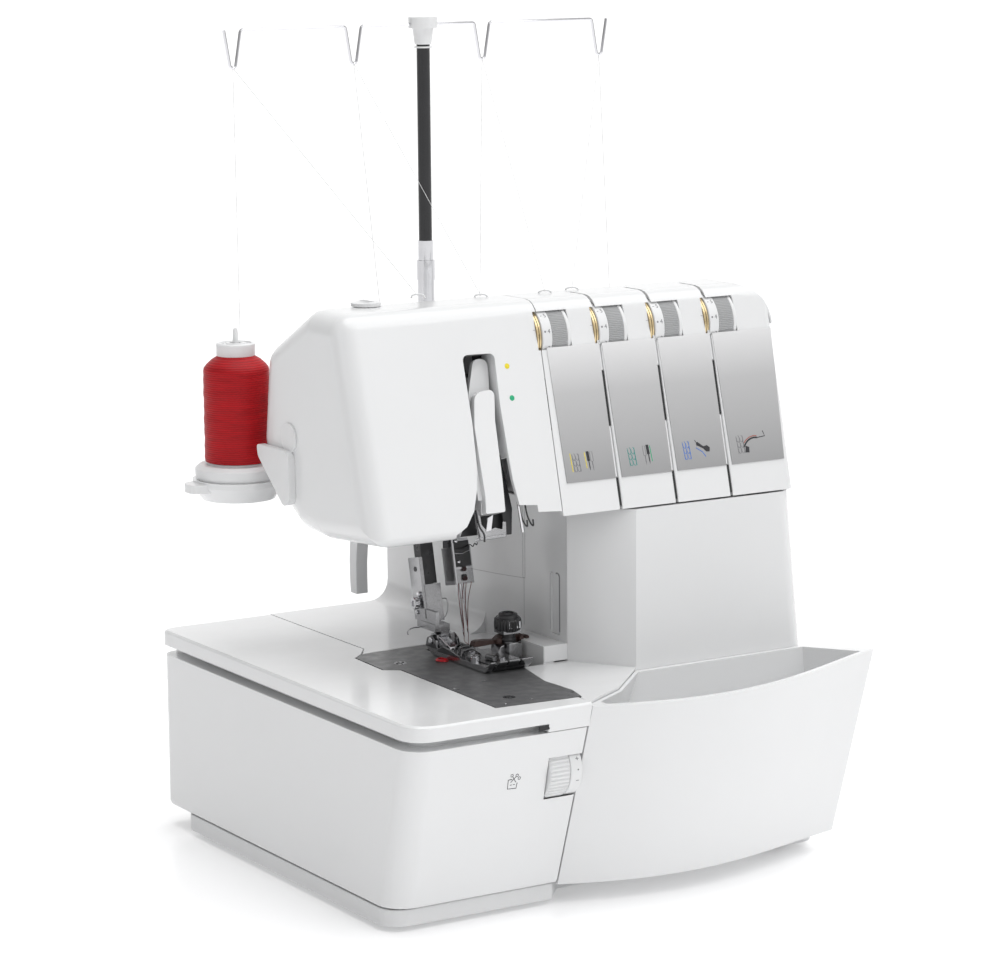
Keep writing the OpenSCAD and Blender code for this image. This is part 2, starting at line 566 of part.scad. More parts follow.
module main_shaft() {
    color("silver") place() {
        rod_x(126, wheel_x + 12, shaft_y, shaft_z, shaft_r);
        // crank discs of the needle drive and the looper drive
        difference() {
            union() {
                rod_x(128, 134, shaft_y, shaft_z, 13);
                rod_x(164, 170, shaft_y, shaft_z, 15);
            }
            rod_x(127, 171, shaft_y, shaft_z, shaft_r - 1);
        }
    }
}
module drive_pulley() {
    color("dimgray") place() difference() {
        ring_x(pulley_x, pulley_x + 8, shaft_y, shaft_z, pulley_r, shaft_r);
        for (a = [0:60:300]) translate([0, shaft_y, shaft_z]) rotate([a, 0, 0]) rod_x(pulley_x - 1, pulley_x + 9, 0, 18, 6);
    }
}
module handwheel() {
    x = wheel_x;
    color("white") place() difference() {
        translate([x, shaft_y, shaft_z]) rotate([0, 90, 0]) rotate_extrude() polygon(rounded([[shaft_r, 0, 0],
            [wheel_r - 3, 0, 0], [wheel_r, 3, 0], [wheel_r, 13, 0], [wheel_r - 3, 16, 3], [20, 16, 0], [15, 12.5, 0], [shaft_r, 12.5, 0]]));
        for (a = [0:12:348]) translate([x + 2, shaft_y, shaft_z]) rotate([a, 0, 0])
            translate([0, 0, wheel_r + 0.6]) rotate([0, 90, 0]) cylinder(r = 1.6, h = 12, $fn = 16);
    }
}
module motor() {
    color("dimgray") place() {
        rod_x(motor_x, motor_x + 48, motor_yz[0], motor_yz[1], motor_r);
        rod_x(motor_x - 8, motor_x + 1, motor_yz[0], motor_yz[1], 10);
        rod_x(motor_x + 47, pulley_x + 9, motor_yz[0], motor_yz[1], 3);
        box([motor_x + 4, motor_yz[0] - 16, base_h - 1], [motor_x + 44, motor_yz[0] + 16, motor_yz[1] - 12]);
    }
}
module motor_pulley() {
    color("silver") place() ring_x(pulley_x, pulley_x + 8, motor_yz[0], motor_yz[1], motor_pulley_r, 3 + run);
}
belt_t = 1.6;
module belt_loop(d) {
    hull() {
        translate([shaft_y, shaft_z]) circle(pulley_r + seat + d);
        translate([motor_yz[0], motor_yz[1]]) circle(motor_pulley_r + seat + d);
    }
}
module drive_belt() {
    color("black") place() along_x(pulley_x + 1, pulley_x + 7) difference() {
        belt_loop(belt_t);
        belt_loop(0);
    }
}

// ---------- needle drive ----------
clamp_z = 146;
clamp_w = 6;                // half the width of the needle clamp
clamp_top = 166;
needle_tip = plate_z + 7;
module needle_bar() {
    color("silver") place() bar(needle_x, bar_y(clamp_z + 8), clamp_z + 8, 262, bar_r);
}
module needle_clamp() {
    color("silver") place() difference() {
        bar_box(needle_x, clamp_z, clamp_top, clamp_w, 5.5);
        bar(needle_x, bar_y(clamp_z + 8), clamp_z + 8, clamp_top + 4, bar_r);
        for (s = [-1, 1]) bar(needle_x + s * needle_pitch / 2, bar_y(clamp_z - 4), clamp_z - 4, clamp_z + 8, 1.05);
        for (z = [0, 5]) bar_front(needle_x, clamp_z + 9 - z) translate([0, -9, 0]) rotate([-90, 0, 0]) cylinder(r = 1.2, h = 5);
    }
}
// Block round the needle bar's axis, w to each side and d to front and back
module bar_box(x, z0, z1, w, d) {
    translate([x, bar_y(z0), z0]) rotate([-bar_lean, 0, 0]) translate([-w, -d, 0]) cube([2 * w, 2 * d, (z1 - z0) / cos(bar_lean)]);
}
module bar_front(x, z) { translate([x, bar_y(z), z]) rotate([-bar_lean, 0, 0]) children(); }
module needles() {
    color("silver") place() for (s = [-1, 1]) {
        x = needle_x + s * needle_pitch / 2;
        z0 = needle_tip + (s + 1) * 0.8;
        bar(x, bar_y(clamp_z - 8), clamp_z - 8, clamp_z + 8, 1.05);
        translate([x, bar_y(z0), z0]) rotate([-bar_lean, 0, 0]) rotate_extrude($fn = 24)
            polygon([[0, 0], [0.5, 3], [0.65, 5], [0.65, 26], [1.0, 30], [0, 30]]);
    }
}
module needle_screws() {
    color("darkgray") place() for (z = [0, 5]) bar_front(needle_x, clamp_z + 9 - z) translate([0, -6.8, 0])
        rotate([-90, 0, 0]) cylinder(r = 1.2, h = 2.4);
}
module take_up_lever() {
    x0 = 95;
    color("white") place() {
        // finger in the slot, behind the take-up cover
        on_face() difference() {
            along_y(7.4, 10.4) polygon(rounded([[x0 - 5.6, 54, 0], [x0 + 7.6, 54, 0], [x0 + 8.4, 70, 0],
                [x0 + 10.4, 88.4, 4], [x0 + 1.6, 88.4, 4], [x0 - 4.6, 70, 0]]));
            along_y(6, 12) polygon([[x0 + 3.2, 60], [x0 + 5, 60], [x0 + 5.6, 66], [x0 + 3.6, 66]]);
        }
        difference() {
            along_x(x0 + 1, x0 + 5) polygon([[take_pivot[0] - 57, take_pivot[1] - 4], [take_pivot[0] + 5, take_pivot[1] - 5],
                [take_pivot[0] + 5, take_pivot[1] + 5], [take_pivot[0] - 56, take_pivot[1] + 8]]);
            rod_x(x0, x0 + 9, take_pivot[0], take_pivot[1], pivot_r + run);
        }
    }
}
module take_up_cover() {
    color("white") place() {
        on_face() {
            along_y(0.4, 4.9) polygon(rounded([[85.4, 6, 1], [97.2, 6, 1], [98.5, 22.7, 0], [99.8, 54.5, 0],
                [102.4, 71, 3], [90, 70, 6], [86.8, 52, 0], [86.6, 15, 0]]));
            // deep flank of the ridge
            along_y(4.8, 13) polygon([[85, 6], [97.2, 6], [98.5, 22.7], [99.3, 46], [86.5, 46], [86.2, 15]]);
        }
        // inner rib towards the arm
        along_x(84, 87) polygon([[face_y(206) + 4, 206], [106, 224], [116, 224], [116, 232], [100, 232], [face_y(232) + 4, 232]]);
    }
}

// ---------- presser ----------
shank_z = 140;
module presser_bar() {
    color("dimgray") place() {
        bar(presser_x, presser_at(shank_z - 12), shank_z - 12, 250, bar_r);
        // square sleeve above the shank
        presser_block([-4, -3.2, shank_z + 6.2], [4, 4, shank_z + 44]);
    }
}
// Block on the presser bar: a and b give its sides and, last, its distances along the bar from the height 0
module presser_block(a, b) {
    translate([presser_x, presser_at(0), 0]) rotate([-bar_lean, 0, 0])
        translate([a[0], a[1], a[2] / cos(bar_lean)]) cube([b[0] - a[0], b[1] - a[1], (b[2] - a[2]) / cos(bar_lean)]);
}
module presser_spring() {
    color("darkgray") place() translate([presser_x, presser_at(spring_z), spring_z]) rotate([-bar_lean, 0, 0])
        spring([0, 0, 0.8], [1, 0, 0], [0, 1, 0], 4, 0.6, 12.5, 4);
}
foot_pin = [113, 118];
module presser_shank() {
    color("silver") place() difference() {
        union() {
            presser_block([-5, -5, shank_z - 14], [5, 5, shank_z + 6]);
            // cheek beside the bar, and the tongue that carries the foot
            presser_block([-6.6, -4.6, shank_z - 12], [-4.4, 7, shank_z + 21]);
            box([presser_x - 6.2, 110, 123], [presser_x - 4, 130, 134]);
            box([presser_x - 6.6, 110, 123], [presser_x + 2.6, 126, 127]);
            box([presser_x - 2.6, 110.4, foot_pin[1] - 2], [presser_x + 2.6, 117, 125]);
            rod_x(presser_x - 6, presser_x + 6, foot_pin[0], foot_pin[1], 1.3);
        }
        bar(presser_x, presser_at(shank_z - 12), shank_z - 12, 200, bar_r);
    }
}
module presser_foot() {
    z = plate_z + seat;
    color("silver") place() difference() {
        union() {
            along_x(presser_x - 7, presser_x + 12) polygon([[54, z + 3.4], [58, z], [113, z], [118, z + 3], [118, z + 4.6],
                [96, z + 4.6], [86, z + 3], [58, z + 3.4]]);
            along_x(presser_x + 12, 120.4) polygon([[54, z + 3.4], [58, z], [97, z], [97, z + 3], [58, z + 3.4]]);
            // ears round the cross pin
            for (x = [presser_x - 5.6, presser_x + 3]) along_x(x, x + 2.6)
                polygon([[109, z + 4], [117, z + 4], [116, foot_pin[1] + 3.4], [110, foot_pin[1] + 3.4]]);
        }
        // notch for the needles and their clamp
        box([needle_x - clamp_w - gap, 99, z - 1], [needle_x + clamp_w + gap, 120, z + 10]);
        box([97, 50, z - 1], [99, 80, z + 5]);
        rod_x(presser_x - 8, presser_x + 8, foot_pin[0], foot_pin[1], 1.3 + run);
    }
}
module presser_lifter() {
    color("white") place() difference() {
        union() {
            along_x(76, 83) polygon([for (p = concat(
                [for (t = [0:0.125:1]) lever_at(t) + [lerp(-5, -3.4, t), 0]],
                [for (t = [1:-0.125:0]) lever_at(t) + [lerp(5, 3.4, t), 0]])) p]);
            rod_x(76, 84, lifter_yz[0], lifter_yz[1], 5);
        }
        rod_x(75, 85, lifter_yz[0], lifter_yz[1], pivot_r + run);
    }
}
function lever_at(t) = [lifter_yz[0] + 18 * t + 7 * sin(180 * t), lifter_yz[1] - 70 * t];
module pressure_dial() {
    color("white") place() translate([pressure_xy[0], pressure_xy[1], head_top - 9]) {
        cylinder(r = 6, h = 9.4);
        translate([0, 0, 9.3]) cylinder(r = 8, h = 1.8);
    }
}

// ---------- under and on the stitch plate ----------
screws = [[68.8, 105.1], [76.3, 5.8]];
needle_hole = [[needle_x - 4, 103], [needle_x + 4, 115]];
module stitch_plate() {
    color("dimgray") place() difference() {
        along_z(plate_z - plate_t, plate_z) polygon(concat([[109, -11], [112.1, 0.6], [111.7, 17.2], [111, 25.9],
            [118.4, 57.5], [119.6, 80], [116.6, 80], [116.6, 98], [121, 98], [122.9, 137.8]],
            [for (i = [5:-1:0]) plate_edge[i]]));
        box([needle_hole[0][0], needle_hole[0][1], 100], [needle_hole[1][0], needle_hole[1][1], 120]);
        for (x = [97, 101.5, 106]) box([x, 84, 100], [x + 2.6, 126, 120]);
        for (p = screws) translate([p[0], p[1], plate_z - plate_t - 1]) {
            cylinder(r = 1.6, h = 10);
            translate([0, 0, plate_t - 0.2]) cylinder(r = 3.4, h = 5);
        }
    }
}
module plate_screws() {
    color("silver") place() for (p = screws) difference() {
        translate([p[0], p[1], plate_z - 8]) {
            cylinder(r = 1.5, h = 7);
            translate([0, 0, 6.8]) cylinder(r = 3.3, h = 1.2);
        }
        translate([p[0], p[1], plate_z - 0.3]) cube([5, 0.8, 1], center = true);
    }
}
module feed_dogs() {
    color("gray") place() {
        for (x = [97.5, 102, 106.5]) difference() {
            box([x, 90, 95], [x + 1.6, 120, plate_z - 0.4]);
            for (y = [90:2:118]) translate([x - 1, y, plate_z - 0.4]) rotate([45, 0, 0]) cube([4, 0.9, 0.9], center = false);
        }
        box([97.5, 90, 92.3], [108.1, 130, 95.2]);
    }
}
module upper_knife() {
    color("silver") place() {
        box([120.9, 82, plate_z - 3], [122.3, 96, plate_z + 6]);
        box([122.3, 80, plate_z + 1], [131, 98, plate_z + 8]);
        translate([126.5, 88, plate_z + 8]) cylinder(r = 4, h = 5);
        box([121, 83, plate_z + 13], [132, 93, plate_z + 21]);
        // arm down to the knife drive
        box([124, 84, 70], [130, 94, plate_z + 1.1]);
    }
}
module lower_knife() {
    color("darkgray") place() box([117, 82, 86], [120.6, 96, plate_z]);
}
lower_axis = [118, 50];
upper_axis = [133, 46];
looper_pin = 4;
module lower_looper() {
    color("silver") place() {
        along_y(98, 101) polygon([[lower_axis[0] + 4, 44], [lower_axis[0] + 4, 70], [108, 81], [88, 84], [70, 79], [69, 77.6],
            [88, 80.4], [104, 76], [lower_axis[0] - 4, 66], [lower_axis[0] - 4, 44]]);
        rod_y(100, looper_wall + 8, lower_axis[0], lower_axis[1], looper_pin);
    }
}
module upper_looper() {
    color("silver") place() {
        along_y(105, 108) polygon([[upper_axis[0] - 3, 40], [upper_axis[0] + 3, 40], [upper_axis[0] + 3, 90], [126, 100],
            [123.6, 99], [upper_axis[0] - 3, 86]]);
        rod_y(106, looper_wall + 8, upper_axis[0], upper_axis[1], looper_pin);
    }
}

// ---------- dials, switch and inlet ----------
module width_dial() {
    x = bed_right - 21.4;
    color("gainsboro") place() difference() {
        rod_x(x, x + 19, width_y, width_z, width_dial_r - 0.2);
        // grooves of the grip
        for (a = [0:12:348]) translate([x, width_y, width_z]) rotate([a, 0, 0])
            translate([-1, -0.9, width_dial_r - 1.2]) cube([14, 1.8, 2]);
        rod_x(x - 1, x + 20, width_y, width_z, 3 + run);
    }
}
module side_dial(p) {
    color("white") place() {
        rod_x(body_w - 6, body_w + 1, p[0], p[1], 4);
        difference() {
            rod_x(body_w + 0.5, body_w + 9, p[0], p[1], side_dial_r);
            for (a = [0:20:340]) translate([0, p[0], p[1]]) rotate([a, 0, 0])
                rod_x(body_w + 2, body_w + 10, 0, side_dial_r + 0.8, 1.8);
        }
    }
}
module length_dial() { side_dial(length_yz); }
module feed_dial() { side_dial(feed_yz); }
module power_switch() {
    color("black") place() {
        along_y(switch_yz[0] - 9.4, switch_yz[0] + 9.4) polygon([
            [body_w - 6, switch_yz[1] - 6.4], [body_w, switch_yz[1] - 6.4], [body_w + 1.2, switch_yz[1]],
            [body_w + 3.4, switch_yz[1] + 6.4], [body_w - 6, switch_yz[1] + 6.4]]);
        rod_y(switch_yz[0] - 9.7, switch_yz[0] + 9.7, body_w - 3, switch_yz[1], 1.5);
    }
}
module power_inlet() {
    color("dimgray") place() difference() {
        union() {
            box([body_w - 16, inlet_yz[0] - 12.9, inlet_yz[1] - 8.9], [body_w, inlet_yz[0] + 12.9, inlet_yz[1] + 8.9]);
            box([body_w, inlet_yz[0] - 15, inlet_yz[1] - 11], [body_w + 1.5, inlet_yz[0] + 15, inlet_yz[1] + 11]);
        }
        box([body_w - 12, inlet_yz[0] - 10, inlet_yz[1] - 6], [body_w + 5, inlet_yz[0] + 10, inlet_yz[1] + 6]);
    }
}

// ---------- thread stand ----------
cup_low = 194.6;
cup_top = 205.7;
spools = [for (d = [-outer_spool, -inner_spool, inner_spool, outer_spool]) stand_x + d];
tube_r = 4.75;
top_tube_r = 3.7;
neck_z = 307;
module spool_stand() {
    color("white") place() difference() {
        union() {
            along_z(200, cup_top - 1) polygon(rounded([[stand_left, stand_y - 6, 5], [spools[0], stand_y - 17, 0],
                [spools[3], stand_y - 17, 0], [spools[3] + cup_r, stand_y - 6, 5], [spools[3] + cup_r, stand_y + 6, 5],
                [spools[3], stand_y + 17, 0], [spools[0], stand_y + 17, 0], [stand_left, stand_y + 6, 5]]));
            for (x = spools) translate([x, stand_y, cup_low]) rotate_extrude()
                polygon([[0, 0], [cup_r - 5, 0], [cup_r, cup_top - cup_low - 3], [cup_r, cup_top - cup_low], [0, cup_top - cup_low]]);
            translate([stand_x, stand_y, cup_low]) cylinder(r = 9, h = cup_top - cup_low);
            // feet on the column's top
            for (x = [172, 226]) translate([x, stand_y + 30, column_top]) cylinder(r = 7, h = 10);
            box([160, stand_y, 200], [240, stand_y + 38, cup_top - 1]);
        }
        translate([stand_x, stand_y, cup_low + 2]) cylinder(r = tube_r, h = 30);
        for (x = spools) translate([x, stand_y, cup_low + 2]) cylinder(r = 3, h = 30);
    }
}
module spool_pins() {
    color("white") place() for (x = spools) translate([x, stand_y, cup_low + 2]) {
        cylinder(r = 3, h = 76);
        translate([0, 0, cup_top - cup_low - 2]) rotate_extrude()
            polygon([[2, 0], [22.5, 0], [23.5, 2], [23.5, 6], [21, 8], [2, 8]]);
    }
}
module thread_spools() {
    z = cup_top + 8;
    color("firebrick") place() for (x = spools) translate([x, stand_y, z]) rotate_extrude()
        polygon(rounded([[3.3, 0, 0], [spool_r - 2, 0, 0], [spool_r, 2, 0], [spool_r, spool_h - 8, 6], [10, spool_h - 1, 0],
            [10, spool_h + 6, 0], [3.3, spool_h + 6, 0]]));
}
module stand_tube() {
    color("silver") place() translate([stand_x, stand_y, 0]) difference() {
        union() {
            translate([0, 0, cup_low + 2]) cylinder(r = tube_r, h = neck_z - cup_low - 2);
            translate([0, 0, neck_z - 1]) cylinder(r = tube_r + 0.4, h = 11);
            translate([0, 0, neck_z + 9]) cylinder(r = tube_r - 0.5, h = 12);
        }
        translate([0, 0, cup_low + 4]) cylinder(r = top_tube_r + run, h = 200);
    }
}
cap_z = stand_top - 15;
module stand_top_tube() {
    color("dimgray") place() translate([stand_x, stand_y, neck_z + 3]) cylinder(r = top_tube_r, h = cap_z - neck_z + 2);
}
module guide_cap() {
    color("white") place() translate([stand_x, stand_y, cap_z]) difference() {
        union() {
            cylinder(r1 = 4.6, r2 = 6, h = 10);
            translate([0, 0, 9]) cylinder(r = 8, h = stand_top - cap_z - 9);
        }
        translate([0, 0, -1]) cylinder(r = top_tube_r, h = 6);
        translate([-20, 0, 11]) rotate([0, 90, 0]) cylinder(r = wire_r, h = 40);
    }
}
hook_x = [-outer_spool + 2, -inner_spool - 12, inner_spool + 6, outer_spool - 4];
hook_h = 20;
guide_z = cap_z + 11;
// Path of the guide wire, as [x, z, bend radius]
guide_path = concat([for (x = hook_x) each [[x - 5, 0, 1.6], [x - 1.6, -hook_h, 1.5], [x + 1.6, -hook_h, 1.5], [x + 5, 0, 1.6]]]);
guide_ends = len(guide_path) - 1;
// Tube of radius r along the points p of the xz plane
module bent_wire(p, r, n = 8) {
    m = len(p) - 1;
    skin([for (i = [0:m]) let (t = unit2(p[min(i + 1, m)] - p[max(i - 1, 0)]))
        [for (k = [0:n - 1]) [p[i][0] - t[1] * r * cos(360 * k / n), -r * sin(360 * k / n), p[i][1] + t[0] * r * cos(360 * k / n)]]]);
}
module thread_guide() {
    color("silver") place() translate([stand_x, stand_y, guide_z]) bent_wire([for (i = [0:guide_ends])
        each (i == 0 || i == guide_ends ? [xy(guide_path[i])] : corner(guide_path, i, 3))], wire_r);
}

// ---------- small pieces on the head ----------
module thread_cutter() {
    color("white") place() {
        along_x(head_x - 4, head_x) polygon(rounded([[157, 228.4, 2], [155.5, 222, 5], [127, 198, 4], [120.4, 202, 4],
            [121, 228.4, 5]]));
        rod_x(head_x - 1, head_x, 126.2, 235, 8);
    }
}
module lamp() {
    color("ivory") place() box([124, 118, 217], [138, 132, 222]);
}

base_plate();
rubber_feet();
side_cover();
cloth_plate();
inner_cover();
rear_cover();
right_cover();
looper_cover();
waste_tray();
head_cover();
tension_cover();
tension_labels();
tension_dial_1();
tension_dial_2();
tension_dial_3();
tension_dial_4();
tension_studs();
tension_discs();
tension_springs();
machine_frame();
shaft_bearings();
main_shaft();
drive_pulley();
handwheel();
motor();
motor_pulley();
drive_belt();
needle_bar();
needle_clamp();
needles();
needle_screws();
take_up_lever();
take_up_cover();
presser_bar();
presser_spring();
presser_shank();
presser_foot();
presser_lifter();
pressure_dial();
stitch_plate();
plate_screws();
feed_dogs();
upper_knife();
lower_knife();
upper_looper();
lower_looper();
width_dial();
length_dial();
feed_dial();
power_switch();
power_inlet();
stand_tube();
stand_top_tube();
guide_cap();
thread_guide();
spool_stand();
spool_pins();
thread_spools();
thread_cutter();
lamp();
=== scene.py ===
"""Serger overlock machine: finishes, camera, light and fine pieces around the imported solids."""
import json
import random
from math import cos, pi, radians, sin, sqrt, tan

import bmesh
import bpy
from mathutils import Matrix, Vector

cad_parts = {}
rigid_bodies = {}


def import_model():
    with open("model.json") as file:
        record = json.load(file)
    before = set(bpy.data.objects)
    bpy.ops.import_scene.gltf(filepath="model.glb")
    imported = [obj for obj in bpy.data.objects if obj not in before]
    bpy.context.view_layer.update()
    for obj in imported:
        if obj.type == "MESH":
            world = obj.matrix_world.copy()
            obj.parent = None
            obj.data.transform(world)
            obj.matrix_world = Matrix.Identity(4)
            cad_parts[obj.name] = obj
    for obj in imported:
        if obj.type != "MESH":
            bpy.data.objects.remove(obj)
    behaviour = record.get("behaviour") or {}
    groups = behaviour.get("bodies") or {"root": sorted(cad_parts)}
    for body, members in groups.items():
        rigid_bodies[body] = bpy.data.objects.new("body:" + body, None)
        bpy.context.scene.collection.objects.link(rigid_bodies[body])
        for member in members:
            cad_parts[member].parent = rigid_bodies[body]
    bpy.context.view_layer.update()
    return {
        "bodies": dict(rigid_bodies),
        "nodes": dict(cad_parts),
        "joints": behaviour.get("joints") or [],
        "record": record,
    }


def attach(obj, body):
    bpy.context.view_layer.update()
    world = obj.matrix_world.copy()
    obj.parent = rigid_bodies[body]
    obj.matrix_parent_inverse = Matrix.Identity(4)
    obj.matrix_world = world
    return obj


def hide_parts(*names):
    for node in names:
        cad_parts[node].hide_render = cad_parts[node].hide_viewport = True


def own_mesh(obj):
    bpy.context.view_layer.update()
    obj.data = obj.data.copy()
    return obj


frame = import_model()
node_objects = frame["nodes"]
slot_of_node = {s["node"]: s["material_slot"] for s in frame["record"]["subparts"]}

# ---- places
# Places are in millimetres from the front left bottom corner of the base plate, as a drawing would give them.
CORNER = Vector((145.65, 107.077, -3.0))
MM = 0.001


def at(x, y, z):
    """Point of the row frame, in metres, of a place in drawing millimetres."""
    return (Vector((x, y, z)) - CORNER) * MM


# ---- materials
def put(node, sockets):
    """Sets sockets of a node, to a value or by a link from an output of another node."""
    for name, value in sockets.items():
        if isinstance(value, bpy.types.NodeSocket):
            node.id_data.links.new(value, node.inputs[name])
        else:
            node.inputs[name].default_value = value


def add(tree, kind, sockets, **settings):
    """New node of a kind, with its settings and sockets."""
    node = tree.nodes.new(kind)
    for name, value in settings.items():
        setattr(node, name, value)
    put(node, sockets)
    return node


def new_material(name):
    """New material: itself, its tree, its shader and the object's coordinates."""
    mat = bpy.data.materials.new(name)
    mat.use_nodes = True
    tree = mat.node_tree
    return mat, tree, tree.nodes["Principled BSDF"], add(tree, "ShaderNodeTexCoord", {}).outputs["Object"]


def noise(tree, vector, scale, detail=2.0, rough=0.5, stretch=None):
    """Noise at so many waves per metre, stretched along the axes where asked."""
    if stretch:
        vector = add(tree, "ShaderNodeMapping", {"Scale": stretch, "Vector": vector}).outputs["Vector"]
    sockets = {"Scale": scale, "Detail": detail, "Roughness": rough, "Vector": vector}
    return add(tree, "ShaderNodeTexNoise", sockets).outputs["Fac"]


def ramp(tree, value, stops):
    """Colour that follows a value between the given stops."""
    node = add(tree, "ShaderNodeValToRGB", {"Fac": value})
    elements = node.color_ramp.elements
    while len(elements) < len(stops):
        elements.new(0.5)
    for element, (place, color) in zip(elements, stops):
        element.position = place
        element.color = (*color, 1.0)
    return node.outputs["Color"]


def moved(tree, value, start, end, low, high, curve="LINEAR"):
    """The value, moved from the range start..end to low..high."""
    sockets = {"Value": value, "From Min": start, "From Max": end, "To Min": low, "To Max": high}
    return add(tree, "ShaderNodeMapRange", sockets, interpolation_type=curve).outputs["Result"]


def spread(tree, value, low, high):
    """The middle range of a noise, stretched to low..high."""
    return moved(tree, value, 0.3, 0.7, low, high)


def bump(tree, height, shader, distance, strength):
    """Relief of so many metres on the shader's surface."""
    node = add(tree, "ShaderNodeBump", {"Height": height, "Distance": distance, "Strength": strength})
    put(shader, {"Normal": node.outputs["Normal"]})


def shade(color, factor):
    return tuple(min(1.0, c * factor) for c in color)


def plastic(name, color, rough, coat=0.0, depth=0.10):
    """Moulded plastic: faint flow marks in the colour, uneven gloss and a fine eroded grain."""
    mat, tree, shader, place = new_material(name)
    flow, gloss = noise(tree, place, 9.0, 3.0), noise(tree, place, 60.0, 4.0)
    put(shader, {
        "Base Color": ramp(tree, flow, [(0.3, shade(color, 0.985)), (0.7, shade(color, 1.01))]),
        "Roughness": spread(tree, gloss, rough * 0.85, rough * 1.2),
        "IOR": 1.5, "Coat Weight": coat, "Coat Roughness": 0.08,
        "Subsurface Weight": depth, "Subsurface Radius": (1.0, 0.95, 0.9), "Subsurface Scale": 0.0015,
    })
    bump(tree, noise(tree, place, 1400.0), shader, 0.00002, 0.6)
    return mat


def metal(name, color, rough, wear=0.25, lines=(1, 1, 1)):
    """Metal with fine tool marks along the given stretch and small polished and dull patches."""
    mat, tree, shader, place = new_material(name)
    patches, marks = noise(tree, place, 120.0, 4.0), noise(tree, place, 3200.0, stretch=lines)
    put(shader, {
        "Base Color": ramp(tree, patches, [(0.3, shade(color, 1 - wear * 0.5)), (0.7, shade(color, 1 + wear * 0.25))]),
        "Roughness": spread(tree, marks, rough * 0.85, rough * 1.25),
        "Metallic": 1.0,
    })
    bump(tree, marks, shader, 0.000008, 0.3)
    return mat


def paint(name, color, rough, spots=0.3):
    """Satin painted or blackened metal with rubbed, brighter patches."""
    mat, tree, shader, place = new_material(name)
    rub = noise(tree, place, 150.0, 5.0)
    put(shader, {
        "Base Color": ramp(tree, rub, [(0.45, color), (0.75, shade(color, 1 + spots * 2))]),
        "Roughness": spread(tree, rub, rough * 1.15, rough * 0.8),
        "Specular IOR Level": 0.6,
    })
    bump(tree, noise(tree, place, 1800.0), shader, 0.00002, 0.5)
    return mat


def rubber(name, color):
    """Dull rubber with a little dust on it."""
    mat, tree, shader, place = new_material(name)
    dust = noise(tree, place, 70.0, 5.0)
    put(shader, {"Base Color": ramp(tree, dust, [(0.4, color), (0.75, shade(color, 1.5))]), "Roughness": 0.72})
    bump(tree, noise(tree, place, 2500.0, 3.0), shader, 0.00005, 0.8)
    return mat


# the label films' change of tone with height is a painted sheen
SHEEN_BOTTOM, SHEEN_TOP = 210, 284  # heights between which the label films change tone


def silver_film(name):
    """Brushed silver film of the label strips, with a painted sheen: pale at the top, darker downwards."""
    mat, tree, shader, place = new_material(name)
    split = add(tree, "ShaderNodeSeparateXYZ", {"Vector": place})
    height = moved(tree, split.outputs["Z"], at(0, 0, SHEEN_BOTTOM).z, at(0, 0, SHEEN_TOP).z, 0, 1)
    # painted sheen: grey tones that rise with height
    sheen_tones = ((0.0, 0.36), (0.3, 0.45), (0.62, 0.53), (0.9, 0.74), (1.0, 0.82))
    streaks = noise(tree, place, 700.0, 4.0, 0.6, (8, 8, 0.25))
    put(shader, {
        "Base Color": ramp(tree, height, [(stop, (grey, grey, grey + 0.005)) for stop, grey in sheen_tones]),
        "Roughness": spread(tree, streaks, 0.32, 0.46),
        "Metallic": 0.35,
    })
    bump(tree, streaks, shader, 0.00001, 0.4)
    return mat


def wound_thread(name, color, pitch=0.0006):
    """Cross-wound sewing thread: fine level turns with painted shade in the grooves between them, broken up by the
    slant of the crossing layers.
    """
    mat, tree, shader, place = new_material(name)
    sockets = {"Scale": 1 / pitch / 6.2832, "Distortion": 1.2, "Detail": 2.0, "Detail Scale": 2.0, "Vector": place}
    wave = add(tree, "ShaderNodeTexWave", sockets, bands_direction="Z").outputs["Fac"]
    layers = noise(tree, place, 60.0, 4.0, 0.6, (1, 1, 9))
    slants = ramp(tree, layers, [(0.3, shade(color, 0.8)), (0.52, color), (0.75, shade(color, 1.2))])
    # dark bands between the turns: painted shade in the grooves
    turns = ramp(tree, wave, [(0.0, (0.45, 0.45, 0.45)), (0.5, (1, 1, 1))])
    mix = add(tree, "ShaderNodeMix", {}, data_type="RGBA", blend_type="MULTIPLY")
    put(mix, {"Factor": 0.55, "A": slants, "B": turns})
    put(shader, {"Base Color": mix.outputs["Result"], "Roughness": 0.5, "Specular IOR Level": 0.25,
                 "Sheen Weight": 0.04, "Sheen Roughness": 0.4})
    bump(tree, wave, shader, 0.00012, 0.9)
    return mat


def lens(name):
    """Frosted clear plastic."""
    mat, tree, shader, place = new_material(name)
    put(shader, {"Base Color": (0.95, 0.95, 0.92, 1), "Transmission Weight": 0.5,
                 "Roughness": spread(tree, noise(tree, place, 500.0, 3.0), 0.35, 0.5)})
    bump(tree, noise(tree, place, 900.0), shader, 0.00005, 0.6)
    return mat


def ink(name, color):
    """Printed ink, a little uneven in tone and gloss."""
    mat, tree, shader, place = new_material(name)
    tone = ramp(tree, noise(tree, place, 900.0, 3.0), [(0.35, shade(color, 0.85)), (0.7, shade(color, 1.1))])
    put(shader, {"Base Color": tone, "Roughness": spread(tree, noise(tree, place, 300.0), 0.35, 0.55)})
    return mat


WHITE = (0.78, 0.785, 0.79)
